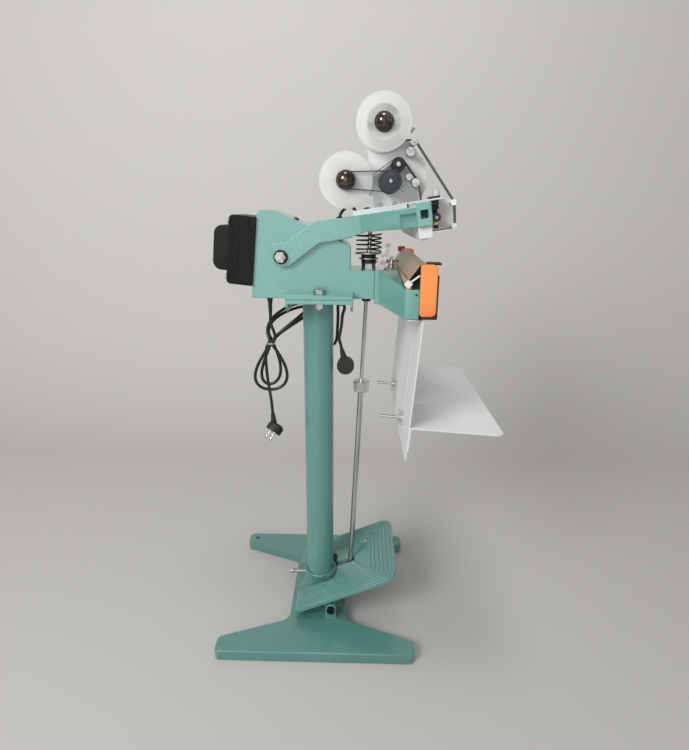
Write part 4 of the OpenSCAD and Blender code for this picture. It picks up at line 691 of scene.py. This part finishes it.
def ring_profile(outer, inner, low, high, soft=0.3):
    return [(inner, low), (outer - soft, low), (outer, low + soft), (outer, high - soft),
            (outer - soft, high), (inner, high), (inner, low)]


def dome_profile(radius, foot, rise):
    """A quarter of an ellipse, from the rim at the foot to the top on the axis."""
    turns = [math.radians(10 * i) for i in range(9)]
    return [(radius * math.cos(t), foot + rise * math.sin(t)) for t in turns] + [(0, foot + rise)]


def make_spool(name, joint, roll_r, nut_front):
    """Two see-through cheeks, tinted near-white as a painted reflection, with stepped rings, a roll of ribbon
    between them and a domed nut on a black ring.
    """
    place = on_axis(joint)
    body = BODY_OF[name]
    front = [(SPINDLE_R, DISC_FRONT)] + [(CHEEK_R * share, DISC_FRONT + lift) for share, lift in CHEEK_STEPS]
    front += [(CHEEK_R + out, DISC_FRONT + lift) for out, lift in CHEEK_RIM]
    front += [(CHEEK_R, DISC_FRONT + DISC_T), (SPINDLE_R, DISC_FRONT + DISC_T), (SPINDLE_R, DISC_FRONT)]
    cheek = lathe("look_" + name, front, place, "reflection_white", body, CHEEK_SEGMENTS)
    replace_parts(cheek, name)
    back = ring_profile(CHEEK_R, SPINDLE_R, DISC_BACK, DISC_BACK + DISC_T)
    lathe(name + "_back_cheek", back, place, "reflection_white", body, CHEEK_SEGMENTS)
    roll_front, roll_back = DISC_FRONT + DISC_T + ROLL_SIDE, DISC_BACK - ROLL_SIDE
    roll = ring_profile(roll_r, SPINDLE_R, roll_front, roll_back, ROLL_SOFT)
    lathe(name + "_roll", roll, place, "ribbon", body)
    # Sides of the roll: pale, a painted reflection of the cheeks over them
    for side, low in (("front", roll_front - ROLL_SIDE), ("back", roll_back)):
        ring = ring_profile(roll_r - ROLL_SOFT, SPINDLE_R, low, low + ROLL_SIDE, ROLL_SOFT)
        lathe(name + "_roll_" + side, ring, place, "roll", body)
    spindle = [(0, -HALF_RIBBON), (SPINDLE_R, -HALF_RIBBON), (SPINDLE_R, SPINDLE_END - SPINDLE_SOFT),
               (SPINDLE_R - SPINDLE_SOFT, SPINDLE_END), (0, SPINDLE_END)]
    lathe(name + "_spindle", spindle, place, "steel", body)
    nut_foot = nut_front - NUT_RING_T
    nut_ring = ring_profile(NUT_RING_R, SPINDLE_R, nut_foot, nut_front, soft=0.8)
    lathe(name + "_nut_ring", nut_ring, place, "black", body)
    nut = [(NUT_R, nut_foot + NUT_SEAT)] + dome_profile(NUT_R, nut_foot, -NUT_RISE)
    lathe(name + "_nut", nut, place, "hub", body)


make_spool("supply_spool", "supply_turn", SUPPLY_ROLL_R, DISC_FRONT)
make_spool("takeup_spool", "takeup_turn", TAKEUP_ROLL_R, PULLEY_FRONT)
lathe("takeup_pulley", ring_profile(PULLEY_R, SPINDLE_R, PULLEY_FRONT, DISC_FRONT, soft=0.5),
      on_axis("takeup_turn"), "black", "takeup")
wheel = lathe("look_drive_wheel", DRIVE_PROFILE, on_axis("drive_turn"), "wheel", "drive",
              DRIVE_SEGMENTS)
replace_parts(wheel, "drive_wheel")
lathe("drive_wheel_screw", DRIVE_SCREW, on_axis("drive_turn"), "steel", "drive", SCREW_SEGMENTS)
roller = lathe("look_pinch_roller", PINCH_PROFILE, on_axis("pinch_turn"), "rubber", "pinch")
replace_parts(roller, "pinch_roller")
lathe("pinch_screw", PINCH_SCREW, on_axis("pinch_turn"), "steel", "pinch", SCREW_SEGMENTS)

# Date coder: fixed pieces in the arm's frame, in millimetres along it, across it and up from its pivot
HEAD_U = 300
HEAD_Y = -31
CARRIER_TOP = 64
SOLENOID_LOW = (HEAD_U - 11, HEAD_Y - 14, CARRIER_TOP)
SOLENOID_HIGH = (HEAD_U + 9, HEAD_Y + 14, CARRIER_TOP + 4)
LENS_AT = (HEAD_U + 4, HEAD_Y, CARRIER_TOP + 3.9)
LENS_R = 7.5
LENS_FOOT = 4
LENS_RISE = 10
LENS_PROFILE = [(LENS_R, 0)] + dome_profile(LENS_R, LENS_FOOT, LENS_RISE)
TYPE_LOW = (HEAD_U - 5.6, HEAD_Y - 8.6, 16)
TYPE_HIGH = (HEAD_U + 2.6, HEAD_Y + 8.6, 27)
KNOB_SCREW = [(0, -1.4), (2.2, -1.4), (3, -0.8), (3.2, 0.1)]
CLIP_AT = (173, -31, 57)
CLIP_PROFILE = [(5.5, 0), (5.5, 3), (4, 3.4), (6.5, 4), (6.5, 7), (4, 8.6), (0, 9)]
GUIDE_AT = (272, HEAD_Y, 186)
GUIDE_PROFILE = ring_profile(3, 1.6, -17, 19)
CABLE_D = 6
CABLE_ROUTE = [(152, 15, 60), (147, 14.5, 70), (140, 14, 74), (130, 12, 69), (122, 10, 62), (117, 8, 53)]
CABLE_STEPS = 8
GROMMET_AT = (118, 8.3, 55.2)
GROMMET_PROFILE = ring_profile(5.6, 3.1, -1.5, 1.5, soft=0.6)
PLATE_SCREW = [(0, -2), (2.4, -2), (3.5, -1.2), (3.8, 0)]
PLATE_SCREWS_AT = ((200, 66), (226, 66), (246, 88))
PLATE_FACE_Y = -12


def arm_at(u, y, w):
    return ARM @ (Vector((u, y, w)) * MM)


def on_arm(u, y, w):
    """Place on the arm, with the local Z square to its top."""
    return ARM @ Matrix.Translation(Vector((u, y, w)) * MM)


def across_arm(u, y, w):
    """Place on the arm, with the local Z running away from the viewer."""
    return Matrix.Translation(arm_at(u, y, w)) @ ALONG_Y


def on_face(node, joint):
    """Place on a turning piece's axis, at its near face, with the local Z running away from the viewer."""
    at = joint_at(joint)
    return Matrix.Translation((at.x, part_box(node)[0][1], at.z)) @ ALONG_Y


block("print_solenoid", SOLENOID_LOW, SOLENOID_HIGH, ARM, "black", "arm", rounding=0.8)
lathe("print_lens", LENS_PROFILE, on_arm(*LENS_AT), "clear", "arm")
block("print_type_block", TYPE_LOW, TYPE_HIGH, ARM, "brass", "arm", rounding=0.5)
lathe("head_knob_screw", KNOB_SCREW, on_face("head_knob", "print_knob_turn"), "steel", "print_knob",
      SCREW_SEGMENTS)
lathe("plate_clip", CLIP_PROFILE, on_arm(*CLIP_AT), "dark_steel", "arm", SMALL_SEGMENTS)
lathe("guide_tube", GUIDE_PROFILE, across_arm(*GUIDE_AT), "steel", "arm", SMALL_SEGMENTS)
cable = smooth_route([arm_at(*point) for point in CABLE_ROUTE], CABLE_STEPS)
tube("coder_cable", cable, CABLE_D * MM, "lead", "arm")
lathe("coder_cable_grommet", GROMMET_PROFILE, on_arm(*GROMMET_AT), "rubber", "arm", SMALL_SEGMENTS)
for u, w in PLATE_SCREWS_AT:
    lathe("side_plate_screw_%d" % u, PLATE_SCREW, across_arm(u, PLATE_FACE_Y, w), "steel", "arm",
          SCREW_SEGMENTS)

# Jaw, in millimetres: cloth, the clamp bar's insulated ends, their straps to the casting and small fittings
SEAL_HALF = 188.5
CLOTH_LINE = [(165, 791.5), (183.5, 816.75), (196.35, 816.75), (196.35, 811)]
CLOTH_SLOPE_END = 183
CLOTH_BEND = 1.2
CLOTH_COLUMNS = 120
CLOTH_RIPPLE = 0.15
RIPPLE_STEPS = (0.9, 0.37)
CLAMP_AT = (164.5, 0, 784.5)
CLAMP_LEAN = math.radians(40)
CLAMP_HALF_X = 5
CLAMP_HALF_Z = 5.5
CLAMP_END_Y = (183.5, 193)
STRAP_Y = 191.5
STRAP_D = 3
STRAP_LINE = ((168, 789), (173, 792), (178, 796), (182.6, 799))
STRAP_STEPS = 4
JAW_SCREW = [(0, 1.4), (1.2, 1.4), (1.8, 0.9), (2.0, -0.3)]
JAW_SCREW_X = 178
JAW_SCREW_Y = 195
JAW_SCREW_Z = 768
CAP_LOW = (174, 188.8, 810)
CAP_HIGH = (190, 194.5, 822)
TOP_SCREW = [(5.2, -0.6), (5, 1.6), (3.6, 2.8), (0, 3.2)]
TOP_SCREW_AT = (-41, 0, 884.4)
BODY_TOP_SLOPE = math.radians(23.7)


def rounded_line(line, radius, steps=4):
    """The line with each inner corner replaced by a small bend."""
    line = [Vector(point) for point in line]
    points = [line[0]]
    for before, corner, after in zip(line, line[1:], line[2:]):
        start = corner + (before - corner).normalized() * radius
        end = corner + (after - corner).normalized() * radius
        for i in range(steps + 1):
            t = i / steps
            points.append((1 - t) ** 2 * start + 2 * t * (1 - t) * corner + t ** 2 * end)
    return points + [line[-1]]


def make_cloth():
    """Sheet over the seal bar and down to the clamp bar, with faint ripples on its slope."""
    line = rounded_line(CLOTH_LINE, CLOTH_BEND)
    shape = bmesh.new()
    rows = []
    for x, z in line:
        ripple = CLOTH_RIPPLE if CLOTH_LINE[0][0] < x < CLOTH_SLOPE_END else 0
        row = []
        for i in range(CLOTH_COLUMNS + 1):
            y = -SEAL_HALF + 2 * SEAL_HALF * i / CLOTH_COLUMNS
            slack = ripple * math.sin(i * RIPPLE_STEPS[0]) * math.sin(i * RIPPLE_STEPS[1])
            row.append(shape.verts.new(((x + slack) * MM, y * MM, z * MM)))
        rows.append(row)
    for low, high in zip(rows, rows[1:]):
        for i in range(CLOTH_COLUMNS):
            shape.faces.new((low[i], low[i + 1], high[i + 1], high[i]))
    cloth = from_bmesh("look_ptfe_cloth", shape, MAT["cloth"], SOFT_DEG)
    joined(cloth, "stand")
    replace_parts(cloth, "ptfe_cloth")


make_cloth()
leaning = Matrix.Translation(Vector(CLAMP_AT) * MM) @ Matrix.Rotation(CLAMP_LEAN, 4, "Y")
for name, side in (("near", -1), ("far", 1)):
    y0, y1 = sorted(side * y for y in CLAMP_END_Y)
    block("clamp_end_" + name, (-CLAMP_HALF_X, y0, -CLAMP_HALF_Z), (CLAMP_HALF_X, y1, CLAMP_HALF_Z), leaning,
          "cream", "stand", rounding=1.0)
    strap = smooth_route([Vector((x, side * STRAP_Y, z)) * MM for x, z in STRAP_LINE], STRAP_STEPS)
    tube("clamp_strap_" + name, strap, STRAP_D * MM, "cream", "stand")
    outward = Matrix.Rotation(-side * math.radians(90), 4, "X")
    screw_at = Matrix.Translation(Vector((JAW_SCREW_X, side * JAW_SCREW_Y, JAW_SCREW_Z)) * MM)
    lathe("jaw_screw_" + name, JAW_SCREW, screw_at @ outward, "dark_steel", "stand", SCREW_SEGMENTS)
block("far_end_cap", CAP_LOW, CAP_HIGH, STAND, "red", "stand", rounding=1.0)
on_top = Matrix.Translation(Vector(TOP_SCREW_AT) * MM) @ Matrix.Rotation(BODY_TOP_SLOPE, 4, "Y")
lathe("body_top_screw", TOP_SCREW, on_top, "dark_steel", "stand", SCREW_SEGMENTS)

# Panel: marks round the heat timer knob, in millimetres, of which every fifth is longer
FACE_X = 214.5
MARK_COUNT = 11
MARK_FIRST = -150
MARK_STEP = 30
MARK_IN = 16.5
MARK_OUT = 19
LONG_MARK_OUT = 20.5
MARK_HALF = 0.5
MARK_SUNK = 0.05
MARK_PROUD = 0.12
dial = joint_at("heat_turn")
for i in range(MARK_COUNT):
    turn = math.radians(MARK_FIRST + MARK_STEP * i)
    place = Matrix.Translation((FACE_X * MM, dial.y, dial.z)) @ Matrix.Rotation(turn, 4, "X")
    mark_out = LONG_MARK_OUT if i % 5 == 0 else MARK_OUT
    block("dial_mark_%d" % i, (-MARK_SUNK, -MARK_HALF, MARK_IN), (MARK_PROUD, MARK_HALF, mark_out), place,
          "cream", "stand", rounding=0)

# Return spring, in millimetres: a round wire coil
spring_low, spring_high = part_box("return_spring")
SPRING_AT = Vector(((spring_low[0] + spring_high[0]) / 2, 0, spring_low[2]))
SPRING_H = (spring_high[2] - spring_low[2]) / MM
SPRING_R = 24
SPRING_TURNS = 4
TURN_STEPS = 40
WIRE_R = 1.5
WIRE_SIDES = 12


def make_spring():
    shape = bmesh.new()
    rings = []
    pitch = (SPRING_H - 2 * WIRE_R) / SPRING_TURNS
    upward = Vector((0, 0, 1))
    angles = [2 * math.pi * j / WIRE_SIDES for j in range(WIRE_SIDES)]
    for i in range(SPRING_TURNS * TURN_STEPS + 1):
        turn = 2 * math.pi * i / TURN_STEPS
        middle = Vector((SPRING_R * math.cos(turn), SPRING_R * math.sin(turn),
                         WIRE_R + pitch * i / TURN_STEPS))
        outward = Vector((math.cos(turn), math.sin(turn), 0))
        ring = [middle + WIRE_R * (math.cos(a) * outward + math.sin(a) * upward) for a in angles]
        rings.append([shape.verts.new(point * MM + SPRING_AT) for point in ring])
    for low, high in zip(rings, rings[1:]):
        for j in range(WIRE_SIDES):
            k = (j + 1) % WIRE_SIDES
            shape.faces.new((low[j], low[k], high[k], high[j]))
    shape.faces.new(rings[0])
    shape.faces.new(rings[-1])
    spring = from_bmesh("look_return_spring", shape, MAT["dark_steel"], SOFT_DEG)
    joined(spring, "stand")
    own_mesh(spring)
    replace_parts(spring, "return_spring")


make_spring()

# Leads: the CAD's routes with their tightest bends eased, in metres, heights from the head plate's top
DECK = Vector((0, 0, 0.740))
LEAD_D = 0.0065
ROUTE_STEPS = 6
RUN_ROUTE = [(-0.097, -0.012, -0.020), (-0.097, -0.012, -0.040), (-0.097, -0.012, -0.062)]
TAIL_ROUTE = [(-0.113, 0.019, -0.120), (-0.116, 0.020, -0.142), (-0.115, 0.018, -0.169),
              (-0.112, 0.014, -0.196)]
PLUG_AT = Vector((-0.102, 0.0, -0.266))
PLUG_LEAN = math.radians(4)
PLUG_STRAIGHT = (0.032, 0.016, 0)
CODER_ROUTE = [(0.022, 0.037, -0.024), (0.021, 0.039, -0.046), (0.016, 0.0435, -0.072),
               (0.0122, 0.0475, -0.0945), (0.013, 0.049, -0.1085), (0.0178, 0.049, -0.118),
               (0.025, 0.0475, -0.1205), (0.032, 0.0445, -0.1165), (0.0363, 0.040, -0.106),
               (0.038, 0.035, -0.090), (0.0395, 0.0265, -0.064), (0.0402, 0.0205, -0.045),
               (0.0399, 0.0169, -0.0315), (0.042, 0.0145, -0.0237), (0.047, 0.0085, -0.0205),
               (0.052, 0.0025, -0.0237), (0.0541, 0.0001, -0.0315), (0.050, 0.0006, -0.046),
               (0.048, -0.001, -0.068)]
CODER_PLUG_AT = Vector((0.049, -0.003, -0.117))
CODER_PLUG_LEAN = math.radians(13)
CODER_PLUG_STRAIGHT = (0.024, 0.012, 0)

# Hank: half width, reach and shift along X of each turn's lobe below the tie and above it, in metres
TIE_AT = Vector((-0.099, -0.012, -0.104))
TIE_DEPTH = 0.028
TIE_IN = 0.018
TIE_OUT = 0.010
LOBE_LOW = [(0.034, 0.103, -0.004), (0.020, 0.095, -0.008)]
LOBE_HIGH = [(0.026, 0.076, 0.068), (0.027, 0.066, 0.074)]
HIGH_FROM = 0.01
HIGH_BACK = 0.048
HIGH_DEEP = 0.010
HANK_TURNS = 2
HANK_RINGS = 24
HANK_STEPS = 4

# Strain reliefs, in millimetres, where the ends of each rib and groove are shares of the pitch
RELIEF_BORE = LEAD_D / 2 / MM - 0.05
RELIEF_R = 4.4
RELIEF_TIP_R = 3.7
RELIEF_SEAT = 1.0
RELIEF_RIBS = 8
RELIEF_PITCH = 2.6
RELIEF_GROOVE = 0.35
RIB_END = 0.6
GROOVE_START = 0.7
GROOVE_END = 0.9


def hank_path():
    """Two turns of a figure of eight, tied where the strands cross."""
    path = []
    for i in range(HANK_RINGS * HANK_TURNS + 1):
        turn = math.radians(90 + 360 * i / HANK_RINGS)
        share = math.cos(turn)
        up = share > HIGH_FROM
        half, reach, shift = (LOBE_HIGH if up else LOBE_LOW)[min(i // HANK_RINGS, HANK_TURNS - 1)]
        back = HIGH_BACK * share ** 2 - HIGH_DEEP * math.sin(2 * turn) if up else 0
        path.append(TIE_AT + Vector((half * math.sin(2 * turn) + shift * share ** 2,
                                     TIE_DEPTH * i / (HANK_RINGS * HANK_TURNS) + back, reach * share)))
    return path


def into_plug(plug_at, lean, straight):
    """The last points of a lead, in line with the plug that hangs from it."""
    down = Vector((math.sin(lean), 0, -math.cos(lean)))
    return [plug_at - distance * down for distance in straight]


def make_mains_lead():
    hank = hank_path()
    inward = (hank[1] - hank[0]).normalized()
    outward = (hank[-1] - hank[-2]).normalized()
    run = RUN_ROUTE + [TIE_AT - TIE_IN * inward, TIE_AT]
    tail = [hank[-1], hank[-1] + TIE_OUT * outward] + TAIL_ROUTE
    tail += into_plug(PLUG_AT, PLUG_LEAN, PLUG_STRAIGHT)
    line = smooth_route(run, ROUTE_STEPS)[:-1] + smooth_route(hank, HANK_STEPS)[:-1]
    line = [point + DECK for point in line + smooth_route(tail, ROUTE_STEPS)]
    lead = tube("mains_lead", line, LEAD_D, "lead", "stand")
    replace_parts(lead, "mains_lead_run", "mains_lead_hank", "mains_lead_tail")


def make_coder_lead():
    route = CODER_ROUTE + into_plug(CODER_PLUG_AT, CODER_PLUG_LEAN, CODER_PLUG_STRAIGHT)
    line = [point + DECK for point in smooth_route(route, ROUTE_STEPS)]
    lead = tube("coder_lead_cord", line, LEAD_D, "lead", "stand")
    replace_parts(lead, "coder_lead")


def strain_relief(name, start, towards):
    """Ribbed rubber sleeve that tapers from a gland onto the lead."""
    profile = [(RELIEF_BORE, -RELIEF_SEAT)]
    for i in range(RELIEF_RIBS):
        thick = RELIEF_R + (RELIEF_TIP_R - RELIEF_R) * i / (RELIEF_RIBS - 1)
        thin = thick - RELIEF_GROOVE
        low = i * RELIEF_PITCH - RELIEF_SEAT
        profile += [(thick, low), (thick, low + RIB_END * RELIEF_PITCH),
                    (thin, low + GROOVE_START * RELIEF_PITCH), (thin, low + GROOVE_END * RELIEF_PITCH)]
    profile.append((RELIEF_BORE, RELIEF_RIBS * RELIEF_PITCH - RELIEF_SEAT))
    start, towards = Vector(start), Vector(towards)
    turned = (towards - start).to_track_quat("Z", "Y").to_matrix().to_4x4()
    place = Matrix.Translation(start + DECK) @ turned
    lathe(name, profile, place, "rubber", "stand", SMALL_SEGMENTS)


make_mains_lead()
make_coder_lead()
strain_relief("mains_strain_relief", *RUN_ROUTE[:2])
strain_relief("coder_strain_relief", *CODER_ROUTE[:2])

# Pins of the mains plug, in millimetres, on a face that is turned and leans out of the plug's own axis
PIN_FACE_AT = (2, 0, -34)
PIN_FACE_TURN = math.radians(218)
PIN_FACE_LEAN = math.radians(133)
PIN_PROFILE = [(0, 9), (2.45, 9), (2.45, 28), (1.6, 29.1), (0, 29.1)]
PIN_Y = (-9.5, 9.5)
pin_face = (Matrix.Translation(PLUG_AT + DECK) @ Matrix.Rotation(-PLUG_LEAN, 4, "Y")
            @ Matrix.Translation(Vector(PIN_FACE_AT) * MM) @ Matrix.Rotation(PIN_FACE_TURN, 4, "Z")
            @ Matrix.Rotation(PIN_FACE_LEAN, 4, "Y"))
for i, y in enumerate(PIN_Y):
    place = pin_face @ Matrix.Translation((0, y * MM, 0))
    lathe("plug_pin_%d" % i, PIN_PROFILE, place, "chrome", "stand", SCREW_SEGMENTS)

# Stage, in metres: a pale floor that sweeps up into a wall
FLOOR = linear(190, 188, 186)
WALL = linear(214, 212, 208)
STAGE_HALF = 14.0
STAGE_FRONT = -8.0
STAGE_BACK = 0.75
STAGE_BEND = 0.5
STAGE_H = 4.5
BEND_STEPS = 24


def make_stage():
    shape = bmesh.new()
    path = [(STAGE_FRONT, 0.0), (STAGE_BACK, 0.0)]
    for i in range(1, BEND_STEPS + 1):
        turn = math.radians(90) * i / BEND_STEPS
        path.append((STAGE_BACK + STAGE_BEND * math.sin(turn), STAGE_BEND * (1 - math.cos(turn))))
    path.append((STAGE_BACK + STAGE_BEND, STAGE_H))
    rows = [[shape.verts.new((x, y, z)) for x in (-STAGE_HALF, STAGE_HALF)] for y, z in path]
    for low, high in zip(rows, rows[1:]):
        shape.faces.new((low[0], low[1], high[1], high[0]))
    finish = Finish("studio_paper", WALL, roughness=0.8)
    finish.colour_between(finish.ranged(finish.height(), 0.0, STAGE_BEND), FLOOR, WALL)
    finish.bumped(finish.noise(scale=6, detail=4), strength=0.05, depth=0.002)
    floor = from_bmesh("floor", shape, finish.material)


# Light: a soft sky, and lamps by place, aim, size in metres and power in watts
SKY = (1.0, 0.99, 0.97, 1)
SKY_STRENGTH = 0.45
LAMPS = {
    "key": ((-1.5, -2.0, 2.0), (0, 0, 0.6), 1.2, 46),
    "overhead": ((0.0, -0.2, 3.0), (0, 0, 0.5), 0.8, 14),
    "front": ((-0.2, -2.5, 1.1), (0, 0, 0.7), 1.8, 10),
}


def area_light(name, at, aim, size, power):
    data = bpy.data.lights.new(name, "AREA")
    data.shape = "DISK"
    data.size = size
    data.energy = power
    lamp = bpy.data.objects.new(name, data)
    lamp.location = at
    lamp.rotation_mode = "QUATERNION"
    lamp.rotation_quaternion = (Vector(aim) - Vector(at)).to_track_quat("-Z", "Y")
    bpy.context.scene.collection.objects.link(lamp)


def make_light():
    world = bpy.data.worlds.new("studio")
    world.use_nodes = True
    background = world.node_tree.nodes["Background"]
    background.inputs["Color"].default_value = SKY
    background.inputs["Strength"].default_value = SKY_STRENGTH
    bpy.context.scene.world = world
    for name, lamp in LAMPS.items():
        area_light(name, *lamp)


make_stage()
make_light()
bpy.context.scene.view_settings.view_transform = "Standard"
